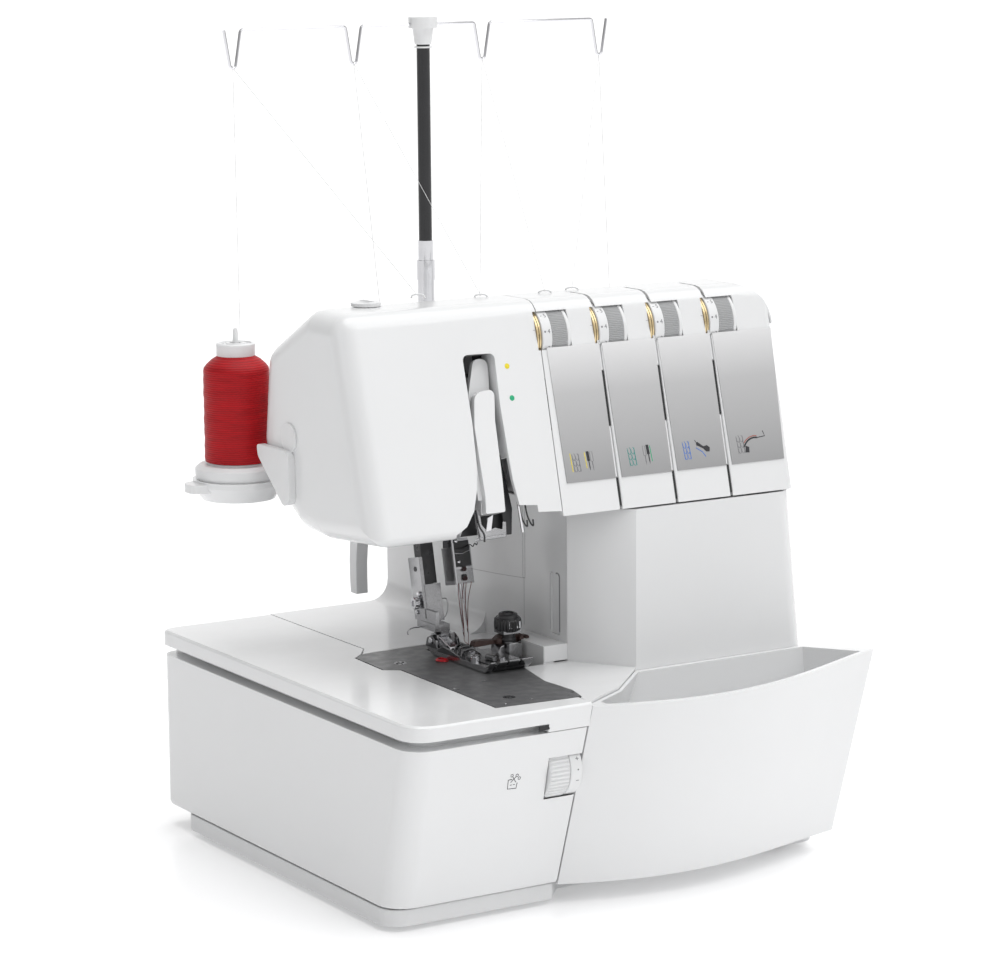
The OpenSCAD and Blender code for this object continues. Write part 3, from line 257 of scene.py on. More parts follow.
# how each finish is made: colour, roughness, then coat and depth (plastic), wear and stretch (metal), or spots (paint)
FINISHES = {
    "cover_white": (plastic, WHITE, 0.2, 0.25),
    "knob_white": (plastic, WHITE, 0.34),
    "base_grey": (plastic, (0.72, 0.725, 0.73), 0.38),
    "dial_grey": (plastic, (0.40, 0.405, 0.41), 0.42),
    "black_plastic": (plastic, (0.018, 0.018, 0.02), 0.4, 0.0, 0.0),
    "label_silver": (silver_film,),
    "foot_rubber": (rubber, (0.035, 0.035, 0.038)),
    "belt_rubber": (rubber, (0.012, 0.012, 0.012)),
    "brass": (metal, (0.78, 0.62, 0.36), 0.28),
    "steel": (metal, (0.46, 0.46, 0.47), 0.24, 0.25, (1, 8, 1)),
    "chrome": (metal, (0.72, 0.72, 0.74), 0.08, 0.1),
    # foot_chrome: chrome with a darkened colour, a painted dark reflection
    "foot_chrome": (metal, (0.20, 0.20, 0.205), 0.1, 0.4),
    "dark_steel": (paint, (0.025, 0.025, 0.027), 0.32),
    "plate_grey": (paint, (0.085, 0.085, 0.088), 0.36, 0.15),
    "cast": (metal, (0.42, 0.42, 0.43), 0.5, 0.4),
    "motor_black": (paint, (0.02, 0.02, 0.022), 0.45),
    # pole_black: a chrome tube painted near black, a painted dark reflection
    "pole_black": (paint, (0.012, 0.012, 0.014), 0.22, 0.1),
    "thread_red": (wound_thread, (0.44, 0.003, 0.008)),
    "lamp_lens": (lens,),
}
finishes = {name: make(name, *values) for name, (make, *values) in FINISHES.items()}
for name, node in node_objects.items():
    node.data.materials.clear()
    node.data.materials.append(finishes[slot_of_node[name]])


# ---- rounded edges of the moulded solids
SHARP = radians(32)  # edges steeper than this are rounded


def modify(obj, name, kind, **settings):
    """New modifier with its settings."""
    modifier = obj.modifiers.new(name, kind)
    for key, value in settings.items():
        setattr(modifier, key, value)


def smooth_group():
    """Geometry nodes that weld the faces of a solid together and shade them smooth up to 28 degrees."""
    group = bpy.data.node_groups.new("welded_smooth", "GeometryNodeTree")
    group.interface.new_socket("Geometry", in_out="INPUT", socket_type="NodeSocketGeometry")
    group.interface.new_socket("Geometry", in_out="OUTPUT", socket_type="NodeSocketGeometry")
    start, end = group.nodes.new("NodeGroupInput"), group.nodes.new("NodeGroupOutput")
    shape = start.outputs[0]
    for kind, sockets in (("GeometryNodeRemoveAttribute", {"Name": "custom_normal"}),
                          ("GeometryNodeMergeByDistance", {"Distance": 0.00002}),
                          ("GeometryNodeSetShadeSmooth", {})):
        shape = add(group, kind, {"Geometry": shape, **sockets}).outputs["Geometry"]
    angle = add(group, "GeometryNodeInputMeshEdgeAngle", {}).outputs["Unsigned Angle"]
    blunt = add(group, "FunctionNodeCompare", {0: angle, 1: radians(28)}, operation="LESS_THAN").outputs["Result"]
    edges = add(group, "GeometryNodeSetShadeSmooth", {"Geometry": shape, "Shade Smooth": blunt}, domain="EDGE")
    put(end, {0: edges.outputs["Geometry"]})
    return group


SMOOTH = smooth_group()


def soften(node, width):
    """Welds a CAD node, and rounds its sharp edges by so many millimetres."""
    modify(node, "weld", "NODES", node_group=SMOOTH)
    if width:
        modify(node, "flat", "DECIMATE", decimate_type="DISSOLVE", angle_limit=radians(0.6))
        modify(node, "edge", "BEVEL", width=width * MM, segments=2, limit_method="ANGLE", angle_limit=SHARP,
               miter_outer="MITER_ARC", harden_normals=False)
        modify(node, "normals", "WEIGHTED_NORMAL", keep_sharp=True)


EDGE_ROUND = {
    0.6: ("cloth_plate", "base_plate"),
    0.5: ("side_cover", "looper_cover", "waste_tray", "head_cover", "tension_cover", "right_cover", "rear_cover",
          "inner_cover", "thread_cutter", "take_up_cover", "spool_stand"),
    0.25: ("presser_foot", "presser_shank", "needle_clamp"),
    0.15: ("stitch_plate",),
}
round_of_node = {name: width for width, names in EDGE_ROUND.items() for name in names}
for name, node in node_objects.items():
    soften(node, round_of_node.get(name, 0))


# ---- builders of fine pieces
LEAN = radians(16.7)      # lean of the head's front
BED_LEAN = radians(13.8)  # lean of the bed's front
SEAM_Y, SEAM_Z = 39.5, 194     # lower edge of the head's front
FILM = 0.07                    # thickness of a printed mark
PLATE = 110.2                  # top of the stitch plate
BODY_W = 283.5                 # width of the housing


def face(u, v, w=0.0):
    """Drawing place on the leaning front of the head: across, up from the seam, out."""
    return (u, SEAM_Y + v * sin(LEAN) - w * cos(LEAN), SEAM_Z + v * cos(LEAN) + w * sin(LEAN))


def bed_front(u, v, w=0.0):
    """Drawing place on the leaning front of the bed: across, height, out."""
    return (u, -tan(BED_LEAN) * v - w * cos(BED_LEAN), v - w * sin(BED_LEAN))


# frames of level and upright walls: along the wall, up (or back, on a level one), out of it
def facing_front(y):
    return lambda u, v, w=0.0: (u, y - w, v)


def facing_up(z):
    return lambda u, v, w=0.0: (u, v, z + w)


def facing_left(x):
    return lambda u, v, w=0.0: (x - w, -u, v)


def facing_right(x):
    return lambda u, v, w=0.0: (x + w, u, v)


def facing_back(y):
    return lambda u, v, w=0.0: (-u, y + w, v)


UP = (0, 0, 1)


def about(centre, axis=UP):
    """Frame round an axis: two directions across it, then along it."""
    n = Vector(axis).normalized()
    u = (Vector(UP) if abs(n.z) < 0.9 else Vector((0, 1, 0))).cross(n).normalized()
    v = n.cross(u)
    c = Vector(centre)
    return lambda a, b, w=0.0: tuple(c + u * a + v * b + n * w)


def prism(bm, outline, frame, low=0.0, high=FILM):
    """Plate with a given outline between two heights of the frame; a printed mark where none are given."""
    rings = [[bm.verts.new(frame(u, v, w)) for u, v in outline] for w in (low, high)]
    bm.faces.new(rings[0][::-1])
    bm.faces.new(rings[1])
    for i in range(len(outline)):
        j = (i + 1) % len(outline)
        bm.faces.new((rings[0][i], rings[0][j], rings[1][j], rings[1][i]))


def plate(bm, u0, v0, u1, v1, frame, low, high):
    """Rectangular plate between two corners, between two heights of the frame."""
    prism(bm, [(u0, v0), (u1, v0), (u1, v1), (u0, v1)], frame, low, high)


def lathe(bm, profile, frame, steps=48, closed=False, ribs=0):
    """Turned form from (radius, height) points; a point with a third value is cut by that depth between the ribs."""
    steps = ribs * 4 if ribs else steps
    rings = []
    for point in profile:
        r, h = point[:2]
        depth = point[2] if len(point) > 2 else 0.0
        if r < 1e-6:
            rings.append([bm.verts.new(frame(0, 0, h))])
            continue
        ring = []
        for i in range(steps):
            a = 2 * pi * i / steps
            q = r - (depth if i % 4 > 1 else 0.0)
            ring.append(bm.verts.new(frame(q * cos(a), q * sin(a), h)))
        rings.append(ring)
    pairs = list(zip(rings, rings[1:]))
    if closed:
        pairs.append((rings[-1], rings[0]))
    for a, b in pairs:
        for i in range(steps):
            j = (i + 1) % steps
            if len(a) == 1 and len(b) == 1:
                break
            if len(a) == 1:
                bm.faces.new((a[0], b[j], b[i]))
            elif len(b) == 1:
                bm.faces.new((a[i], a[j], b[0]))
            else:
                bm.faces.new((a[i], a[j], b[j], b[i]))
    if not closed:
        for ring in (rings[0], rings[-1]):
            if len(ring) > 1:
                bm.faces.new(ring)


def smooth_path(points, n=6):
    """Points of a smooth curve (Catmull-Rom) through the given ones."""
    p = [Vector(q) for q in points]
    p = [2 * p[0] - p[1]] + p + [2 * p[-1] - p[-2]]
    out = []
    for a, b, c, d in zip(p, p[1:], p[2:], p[3:]):
        for t in (k / n for k in range(n)):
            square, cube = 2 * a - 5 * b + 4 * c - d, 3 * b - a - 3 * c + d
            out.append(0.5 * (2 * b + (c - a) * t + square * t * t + cube * t ** 3))
    out.append(p[-2])
    return out


def wire(bm, points, radius, sides=8, n=6, frame=None):
    """Round wire along a smooth curve through points, given in a frame where there is one."""
    tube(bm, smooth_path([frame(*q) for q in points] if frame else points, n), radius, sides)


def tube(bm, path, radius, sides=8):
    """Round wire along a path."""
    path = [Vector(p) for p in path]
    across = None
    rings = []
    for i, p in enumerate(path):
        along = (path[min(i + 1, len(path) - 1)] - path[max(i - 1, 0)]).normalized()
        if across is None:
            across = along.orthogonal().normalized()
        across = (across - along * across.dot(along)).normalized()
        other = along.cross(across)
        rings.append([bm.verts.new(p + (across * cos(a) + other * sin(a)) * radius)
                      for a in (2 * pi * k / sides for k in range(sides))])
    for a, b in zip(rings, rings[1:]):
        for i in range(sides):
            j = (i + 1) % sides
            bm.faces.new((a[i], a[j], b[j], b[i]))
    bm.faces.new(rings[0][::-1])
    bm.faces.new(rings[-1])


def stroke(bm, points, frame, width, low=0.0, high=FILM):
    """Line of a given width along flat points."""
    points = [Vector(p) for p in points]
    left, right = [], []
    for i, p in enumerate(points):
        along = (points[min(i + 1, len(points) - 1)] - points[max(i - 1, 0)]).normalized()
        across = Vector((-along.y, along.x)) * (width / 2)
        left.append(p + across)
        right.append(p - across)
    for i in range(len(points) - 1):
        prism(bm, [right[i], right[i + 1], left[i + 1], left[i]], frame, low, high)


def polar(cx, cy, r, degrees):
    """Point so far from a centre, at an angle."""
    return cx + r * cos(radians(degrees)), cy + r * sin(radians(degrees))


def arc(cx, cy, r, start, end, n=8):
    """Points of a round stretch between two angles."""
    return [polar(cx, cy, r, start + (end - start) * i / n) for i in range(n + 1)]


def spoke(bm, cx, cy, r, degrees, frame, *measures):
    """Line across a centre at an angle."""
    stroke(bm, [polar(cx, cy, -r, degrees), polar(cx, cy, r, degrees)], frame, *measures)


GLYPHS = {}


def sign(bm, text, size, frame, u, v, low=0.0):
    """Flat generic sign, such as a digit, centred on a place of the frame."""
    if text not in GLYPHS:
        curve = bpy.data.curves.new("sign", "FONT")
        curve.body, curve.size = text, 1.0
        curve.align_x, curve.align_y = "CENTER", "CENTER"
        obj = bpy.data.objects.new("sign", curve)
        mesh = bpy.data.meshes.new_from_object(obj)
        GLYPHS[text] = ([(q.co.x, q.co.y) for q in mesh.vertices], [tuple(f.vertices) for f in mesh.polygons])
        bpy.data.objects.remove(obj)
        bpy.data.meshes.remove(mesh)
        bpy.data.curves.remove(curve)
    points, faces = GLYPHS[text]
    verts = [bm.verts.new(frame(u + a * size, v + b * size, low + FILM)) for a, b in points]
    for f in faces:
        bm.faces.new([verts[i] for i in f])


def new_object(name, data):
    """New object in the scene."""
    obj = bpy.data.objects.new(name, data)
    bpy.context.scene.collection.objects.link(obj)
    return obj


def piece(name, bm, slot, body="machine", material=None, edge=0.0, crease=32, solid=True, stands_for=()):
    """Turns a bmesh in drawing millimetres into a piece that rides on a body."""
    for v in bm.verts:
        v.co = at(*v.co)
    if solid:
        bmesh.ops.recalc_face_normals(bm, faces=bm.faces)
    mesh = bpy.data.meshes.new(name)
    bm.to_mesh(mesh)
    bm.free()
    mesh.polygons.foreach_set("use_smooth", [True] * len(mesh.polygons))
    mesh.set_sharp_from_angle(angle=radians(crease))
    mesh.materials.append(material or finishes[slot])
    obj = new_object(name, mesh)
    if edge:
        modify(obj, "edge", "BEVEL", width=edge * MM, segments=2, limit_method="ANGLE", angle_limit=SHARP)
        modify(obj, "normals", "WEIGHTED_NORMAL", keep_sharp=True)
    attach(obj, body)
    if stands_for:
        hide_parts(*stands_for)
    return obj


INK_COLORS = {
    "dark": (0.03, 0.03, 0.035), "grey": (0.22, 0.22, 0.23), "pale": (0.45, 0.45, 0.46),
    "yellow": (0.80, 0.66, 0.03), "green": (0.02, 0.42, 0.20), "teal": (0.05, 0.30, 0.27),
    "blue": (0.08, 0.20, 0.60), "red_brown": (0.36, 0.10, 0.07),
}
INKS = {name: ink("ink_" + name, color) for name, color in INK_COLORS.items()}
THREAD_WHITE = wound_thread("thread_white", (0.82, 0.82, 0.82), 0.0003)
THREAD_DARK = wound_thread("thread_maroon", (0.20, 0.05, 0.045), 0.0003)


def mark(name, bm, color, slot="dial_grey", body="machine", **looks):
    """Thin piece in one of the inks."""
    piece(name, bm, slot, body, INKS[color], **looks)


# ---- tension units
UNITS = range(4)
UNIT_X, UNIT_PITCH = 135.8, 36.1  # left edge of the first unit, and the way to the next one
UNIT_TOP, UNIT_LEAN = 310, 0.036  # height at which the left edges are measured, and their lean to the left below it
DIAL_R, DIAL_W, DIAL_Z = 17.5, 17.8, 284.5
DIAL_OUT = 2                      # how far a dial stands out of the front
DIAL_Y = SEAM_Y + tan(LEAN) * (DIAL_Z - SEAM_Z) + (DIAL_R - DIAL_OUT) / cos(LEAN)
DIGIT_STEP = DIAL_R * 2 * pi / 12
DIGIT_SHOWN = 4                   # digit that stands at the index line


def unit_left(k):
    return UNIT_X + k * UNIT_PITCH


def slot_left(k, v):
    """Left edge of the slot between two units, at a distance up the face."""
    return unit_left(k) - UNIT_LEAN * (UNIT_TOP - face(0, v)[2])


def wrapped_on(x, y, z, radius):
    """Frame wrapped round a dial: along its axle, round it upwards from the front, out."""
    def frame(u, v, w=0.0):
        a = v / radius
        r = radius + w
        return (x + u, y - r * cos(a), z + r * sin(a))
    return frame


# (radius, way along the axle) of the hollow white drum with the groove for its grip, and of the ribbed grip
DRUM = [(13.5, 0), (17.2, 0), (DIAL_R, 0.3), (DIAL_R, 5.7), (17.2, 6), (16.6, 6), (16.6, 15.7), (17.2, 15.7),
        (DIAL_R, 16), (DIAL_R, 17.4), (17.1, DIAL_W), (3.06, DIAL_W), (3.06, 13.8), (13.5, 13.8)]
GRIP = [(16.4, 6.1), (17.2, 6.1, 0.1), (17.42, 6.4, 0.32), (17.42, 15.3, 0.32), (17.2, 15.6, 0.1), (16.4, 15.6)]
for k in UNITS:
    body = "tension_dial_%d" % (k + 1)
    x = unit_left(k) + 0.4
    axle = about((x, DIAL_Y, DIAL_Z), (1, 0, 0))
    bm = bmesh.new()
    lathe(bm, DRUM, axle, steps=96, closed=True)
    piece(body + "_drum", bm, "knob_white", body, stands_for=(body,))
    bm = bmesh.new()
    lathe(bm, GRIP, axle, closed=True, ribs=110)
    piece(body + "_grip", bm, "dial_grey", body, crease=20)
    bm = bmesh.new()
    wrapped = wrapped_on(x, DIAL_Y, DIAL_Z, DIAL_R)
    for digit in range(10):
        place = DIAL_R * 0.25 + (digit - DIGIT_SHOWN) * DIGIT_STEP
        sign(bm, str(digit), 3.4, wrapped, 4.0, place)
        if digit == DIGIT_SHOWN:
            prism(bm, arc(1.6, place, 0.55, 0, 330, 11), wrapped)
        else:
            stroke(bm, [(1.2, place), (2.2, place)], wrapped, 0.3)
    mark(body + "_digits", bm, "grey", body=body, solid=False)

INDEX_V = 100  # way up the face to the index lines
bm = bmesh.new()
for k in UNITS:
    stroke(bm, [(unit_left(k) - 4.1, INDEX_V), (unit_left(k) - 1.6, INDEX_V)], face, 0.35)
mark("index_lines", bm, "pale")

out_of_head = Vector(face(0, 0, 1)) - Vector(face(0, 0, 0))
for name, place in {"yellow": (112.2, 82.3), "green": (112.1, 65.2)}.items():
    bm = bmesh.new()
    lathe(bm, [(1.5, 0), (1.45, 0.12), (1.1, 0.2), (0, 0.22)], about(face(*place), out_of_head), 32)
    mark("threading_dot_" + name, bm, name)

# ---- marks on the label films
MARK_LOW, MARK_HIGH = 22.0, 10.4  # foot and height of the marks


def label(u, v, w=0.0):
    """Place on a label film, which stands 0.5 mm proud of the face and follows the lean of its unit."""
    return face(u - UNIT_LEAN * (v - 28), v, w + 0.5)


def chain(bm, u, v, width, height, line=0.28):
    """Generic overlock stitch: two columns of three loops between two lines."""
    turn = [radians(-200 + 25 * i) for i in range(12)]
    for row in range(3):
        for col in range(2):
            cx, cy = u + width * (0.28 + 0.44 * col), v + height * (0.2 + 0.3 * row)
            loop = [(cx + width * 0.2 * cos(a), cy + height * 0.19 * sin(a)) for a in turn]
            stroke(bm, loop, label, line)
    for side in (0.06, 0.94):
        stroke(bm, [(u + width * side, v), (u + width * side, v + height * 0.95)], label, line)


def needle_mark(bm, u, v, height, width, filled):
    """Generic needle: a shank over a fine blade and a point."""
    top, middle, point = v + height, v + height * 0.5, v + height * 0.18
    shank = [(u, middle), (u + width, middle), (u + width, top), (u, top)]
    if filled:
        prism(bm, shank, label)
    else:
        stroke(bm, shank + shank[:1], label, 0.25)
    stroke(bm, [(u + width * 0.5, middle), (u + width * 0.5, point)], label, width * 0.35)
    prism(bm, [(u + width * 0.3, point), (u + width * 0.7, point), (u + width * 0.5, v)], label)


STITCHES = [(142.6, 4.6, "grey"), (177.9, 4.9, "teal"), (213.7, 4.6, "blue"), (249.3, 4.8, "grey")]
for k, (u, width, color) in enumerate(STITCHES):
    bm = bmesh.new()
    chain(bm, u, 22.3, width, 10.2)
    mark("label_stitch_%d" % (k + 1), bm, color, "label_silver")
bm = bmesh.new()
needle_mark(bm, 154.1, MARK_LOW, MARK_HIGH, 1.6, False)
needle_mark(bm, 188.0, MARK_LOW, MARK_HIGH, 1.5, False)
mark("label_needle_outline", bm, "grey", "label_silver")
bm = bmesh.new()
needle_mark(bm, 151.9, MARK_LOW + 0.4, MARK_HIGH, 1.7, True)
needle_mark(bm, 190.2, MARK_LOW + 0.4, MARK_HIGH, 1.7, True)
# lower and upper looper
prism(bm, [(222.6, 30.2), (223.6, 31.4), (227.2, 28.6), (229.6, 29.0), (231.2, 27.6), (230.6, 25.4), (228.4, 25.6),
           (226.8, 27.4), (223.2, 29.4)], label)
stroke(bm, [(222.2, 32.4), (223.4, 30.4), (223.0, 29.0)], label, 0.35)
stroke(bm, arc(261.6, 21.5, 8.8, 152, 78, 10), label, 0.9)
prism(bm, [(254.0, 22.6), (256.6, 22.4), (257.0, 25.4), (254.9, 26.3)], label)
stroke(bm, [(263.4, 30.1), (268.6, 30.6), (267.8, 33.6)], label, 0.5)
mark("label_tool_marks", bm, "dark", "label_silver")
# coloured thread beside each mark
ACCENTS = {
    "yellow": [(150.9, 23.8), (150.9, 32.4)],
    "green": [(192.7, 23.6), (192.7, 32.2)],
    "blue": [(222.2, 28.2), (225.8, 25.8), (227.6, 22.9)],
    "red_brown": arc(261.6, 21.5, 9.8, 140, 80, 8),
}
for name, points in ACCENTS.items():
    bm = bmesh.new()
    stroke(bm, points, label, 0.45)
    mark("label_accent_" + name, bm, name, "label_silver")
bm = bmesh.new()
stroke(bm, [(141.8, 22.6), (141.8, 32.6)], label, 0.5)
mark("label_accent_edge", bm, "yellow", "label_silver")


# ---- thread slots between the units: black plates inside as painted shadow, with white guides and a bead along the edge
def slot_plate(bm, k, low, high, left, right, deep, shallow):
    """Plate inside a slot, between two places up the face and two places across the slot."""
    prism(bm, [(slot_left(k, low) + left, low), (slot_left(k, low) + right, low),
               (slot_left(k, high) + right, high), (slot_left(k, high) + left, high)], face, deep, shallow)


# black plates in the slots: painted shadow of their depth
bm = bmesh.new()
slot_plate(bm, 0, 46, 74, -0.55, 0.6, -1.2, -0.5)
for k in UNITS[1:]:
    for low, high in ((45.5, 75), (2, 17)):
        slot_plate(bm, k, low, high, 0.15, 1.65, -1.2, -0.5)
piece("thread_slot_shadow", bm, "black_plastic")
bm = bmesh.new()
for k in UNITS[1:]:
    for low, high in ((17.5, 45), (75.5, 92)):
        slot_plate(bm, k, low, high, 0.2, 1.6, -2.2, -0.7)
piece("thread_slot_guides", bm, "cover_white", edge=0.2)
bm = bmesh.new()
for k in UNITS[1:]:
    tube(bm, [face(slot_left(k, v) + 2.35, v, -0.12) for v in (3, 30, 60, 78)], 0.42)
piece("thread_slot_beads", bm, "cover_white")

# ---- take-up slot
SLOT_WALL = (-14, -2.45)  # depth of the slot's side and top, behind the face
# depth of the two plates at the back of the slot, painted shade of its dark interior
SLOT_SHADE_DEPTH = (-15.2, -14.4)
bm = bmesh.new()
prism(bm, [(105.9, 91), (104.7, 62.3), (104.7, 34.5), (106.4, 34.5), (106.6, 62.3), (107.6, 91)], face, *SLOT_WALL)
prism(bm, [(86.4, 91.5), (105.9, 91), (105.9, 92.6), (86.4, 93)], face, *SLOT_WALL)
piece("take_up_slot_wall", bm, "base_grey", edge=0.3)
bm = bmesh.new()
# the two plates at the back are painted shade of the slot's interior; the plates nearer the face are the black lever
plate(bm, 83.5, 22, 95.2, 93, face, *SLOT_SHADE_DEPTH)
plate(bm, 100.8, 40, 107.4, 93, face, *SLOT_SHADE_DEPTH)
prism(bm, [(99.4, -5.5), (103.4, -5.5), (106.2, 8), (104.6, 30), (104.2, 37), (100.2, 37), (99.6, 10)], face, -8.5, -8)
prism(bm, [(74.5, -3.5), (104, -3.5), (104, 9), (84.6, 9), (79, 3.5)], face, -12.5, -12)
piece("take_up_slot_shade_and_lever", bm, "black_plastic", edge=0.2)
bm = bmesh.new()
prism(bm, [(81.3, 9.0), (81.3, -5.6), (98.6, -5.2), (99.6, 1.2), (97.5, 1.4), (96.6, -2.6), (92.4, -1.2),
           (87.2, -2.4), (84.6, 1.2), (84.6, 9.0)], face, -6.4, -5.2)
prism(bm, [(81.3, -5.7), (98.6, -5.3), (98.4, -6.6), (81.6, -7.0)], face, -9.4, -5.2)
piece("thread_bracket", bm, "steel", edge=0.25)
bm = bmesh.new()
prism(bm, [(86.2, -2.8), (88.6, 4.2), (92.2, 5.6), (89.6, -2.4)], face, -5.6, -4.8)
prism(bm, [(106.1, 36), (106.9, 36), (107.6, 9), (107.9, -5.6), (106.5, -5.6), (106.5, 9)], face, -3.4, -2.6)
piece("thread_guide_blades", bm, "chrome", edge=0.15)
bm = bmesh.new()
hook = [(82.2, 9.0, -5), (82.2, 0.6, -4), (83.4, -4.2, -2.6), (82.9, -8.2, -2.4)]
wire(bm, hook, 0.5, frame=face)
for u in (111.3, 115.0):
    hook = [(u - 1.6, 10.0, -6.5), (u - 1.6, 3.4, -6), (u - 1.2, -1.2, -4.5), (u, -2.6, -4.2), (u + 0.9, 0.6, -5)]
    wire(bm, hook, 0.45, frame=face)
piece("thread_hooks", bm, "dark_steel")

# ---- needles and presser
BAR_LEAN = radians(12)
NEEDLE_X, PRESSER_X = 115.0, 100.5


def needle_axis(z):
    """Way back of the needle bar's axis at a height."""
    return 111 + tan(BAR_LEAN) * (z - PLATE)


def presser_axis(z):
    """Way back of the presser bar's axis at a height."""
    return 124 + tan(BAR_LEAN) * (z - 125)


def bar_front(x, axis, reach):
    """Frame on the front of a leaning bar's block: across, height, out."""
    def frame(u, v, w=0.0):
        d = reach + w
        return (x + u, axis(v) - d * cos(BAR_LEAN), v + d * sin(BAR_LEAN))
    return frame


clamp = bar_front(NEEDLE_X, needle_axis, 5.5)
out_of_bar = Vector((0, -cos(BAR_LEAN), sin(BAR_LEAN)))
bm = bmesh.new()
prism(bm, [(-4.4, 155.4), (5.3, 155.4), (5.0, 169), (-4.4, 169)], clamp, 0.02, 0.6)
piece("needle_clamp_front", bm, "dark_steel", "needle_drive", edge=0.25)
bm = bmesh.new()
plate(bm, -5.9, 146.2, -4.7, 168.6, clamp, 0.02, 0.75)
prism(bm, [(-5.95, 165.2), (5.4, 165.2), (4.9, 170.4), (-5.4, 170.4)], clamp, -9.5, -0.1)
plate(bm, -4.7, 153.9, 5.6, 155.2, clamp, 0.02, 0.8)
stroke(bm, [(-4.6, 162.6), (0.4, 162.2), (5.2, 163.6)], clamp, 0.35, 0.6, 0.85)
for u, v, r in ((-2.9, 169.2, 1.1), (-2.6, 158.0, 1.0)):
    lathe(bm, [(r, 0), (r, 0.5), (r * 0.7, 0.75), (0, 0.85)], about(clamp(u, v, 0.5), out_of_bar), 20)
piece("needle_clamp_trim", bm, "chrome", "needle_drive", edge=0.12)
bm = bmesh.new()
for z in (155, 150):
    hole = about(clamp(0, z - 1.15, 1.25), out_of_bar)
    lathe(bm, [(1.3, -1.2), (1.3, 0.25), (1.1, 0.45), (0.65, 0.45), (0.6, 0.05), (0, 0.05)], hole, 24)
piece("needle_screw_heads", bm, "dark_steel", "needle_drive", ink("screw_maroon", (0.035, 0.006, 0.006)), crease=25)
bm = bmesh.new()
curl = [(-4.4, 165.6, 0.9), (-1, 164.9, 1.4), (2.5, 165.4, 1.5), (5.2, 166.4, 1.3), (7.0, 165.2, 1.2),
        (8.2, 166.8, 1.5), (9.4, 165.8, 1.2), (10.4, 167.0, 1.0)]
wire(bm, curl, 0.28, frame=clamp)
piece("needle_thread_hook", bm, "dark_steel", "needle_drive")
# two threads run down each needle to its eye, and one on from there under the foot
bm = bmesh.new()
for side in (-1, 1):
    x = side * 1.4
    eye = 118.6 + (side + 1) * 0.8
    for bend in (-1.0, 1.0):
        run = [(x + bend * 1.7 + side, 146.6, 0.2), (x + bend * 0.9 + side * 0.6, 137, -3.6),
               (x + bend * 0.25, eye + 5, -4.7), (x, eye, -5.1)]
        wire(bm, run, 0.2, 6, frame=clamp)
    run = [(x, eye, -4.9), (x - 0.6, eye - 3, -4.5), (-0.4, 113.4, -3.2)]
    wire(bm, run, 0.16, 6, frame=clamp)
piece("needle_threads", bm, "thread_red", "needle_drive", THREAD_DARK)

CHEEK_X = PRESSER_X - 6.5  # left side of the shank
HEX_R, HEX_Z = 1.5, 154.7
# dark hexagon on the shank's left side: painted shade of its hex socket
bm = bmesh.new()
hexagon = arc(-presser_axis(HEX_Z) - 0.4, HEX_Z, HEX_R, 0, 300, 5)
prism(bm, hexagon, facing_left(CHEEK_X - 0.12), 0, 0.25)
piece("shank_hex_recess_shade", bm, "dark_steel", "presser")


def on_cheek(behind, z, axis_z=None):
    """Frame of a screw in the shank's left side, so far behind the bar's axis."""
    return about((CHEEK_X, presser_axis(axis_z or z) + behind, z), (-1, 0, 0))


bm = bmesh.new()
lathe(bm, [(1.2, 0), (1.2, 1.0), (3.1, 1.0), (3.3, 1.3, 0.3), (3.3, 3.6, 0.3), (3.0, 3.9), (1.6, 3.9), (1.4, 3.2),
           (0, 3.2)], on_cheek(0.6, 136.5), ribs=18)
lathe(bm, [(1.5, 0), (1.5, 1.0), (1.1, 1.5), (0, 1.6)], on_cheek(-1.2, 141.5), 20)
lathe(bm, [(1.2, 0), (1.2, 0.8), (0.8, 1.2), (0, 1.3)], on_cheek(3.2, 131.0, 131.5), 20)
piece("shank_screws", bm, "chrome", "presser", crease=25)
bm = bmesh.new()
wire(bm, [(94.6, 128, 122.6), (90.8, 127.6, 122.9), (87.6, 127.4, 122.2), (86.5, 127.3, 120.6),
          (86.9, 127.2, 119.6)], 0.35)
wire(bm, [(103.4, 121, 127), (106.6, 120.6, 128.6), (108.2, 120.4, 133), (107.8, 121, 138), (105.4, 122, 138.6)], 0.3)
piece("shank_wires", bm, "steel", "presser")

# presser foot, on the CAD sole
SOLE = 113.5
CHEEK_REAR = [(119.4, 114.2), (117.6, 119.4), (112.5, 121.4), (108.4, 119.0), (106.4, 114.2)]
CHEEK_FRONT = [(107.8, 114.0), (101.6, 117.2), (95.6, 116.6), (84.0, 114.8), (82.2, 113.4), (107, 113.0)]
TOE = [(62, 113.4), (55.2, 115.2), (52.2, 117.4), (51.6, 116.4), (54.0, 113.2), (58.5, 111.4), (62, 111.2)]
bm = bmesh.new()
prism(bm, [(117.4, 122.2), (116.2, 123.2), (97.4, 117.0), (96.4, 114.9), (98.2, 114.9), (104, 117.2)],
      facing_right(95.6), 0, 5.4)
piece("foot_clip", bm, "chrome", "presser_foot", edge=0.4)
bm = bmesh.new()
for outline, x, thick in ((CHEEK_REAR, 92.9, 2.2), (CHEEK_REAR, 106.1, 1.8),
                          (CHEEK_FRONT, 93.2, 1.5), (CHEEK_FRONT, 105.4, 1.5)):
    prism(bm, outline, facing_right(x), 0, thick)
piece("foot_cheeks", bm, "steel", "presser_foot", finishes["foot_chrome"], edge=0.5)
bm = bmesh.new()
for y, h in ((94.5, 3.6), (90.0, 4.2), (86.0, 3.4)):
    wire(bm, [(97.2, y, 112.6), (97.4, y - 0.4, 113.4 + h), (100.6, y - 0.6, 114.4 + h), (103.8, y - 0.4, 113.4 + h),
              (104.2, y, 112.6)], 0.75)
for x, y, length in ((96.2, 78.0, 9.0), (104.6, 74.0, 8.0)):
    lathe(bm, [(0, -0.4), (1.3, -0.2), (1.7, 0.4), (1.7, length - 0.5), (1.3, length), (0, length + 0.2)],
          about((x, y, 115.0), (0.04, -1, 0.04)), 24)
piece("foot_guides", bm, "chrome", "presser_foot", finishes["foot_chrome"])
bm = bmesh.new()
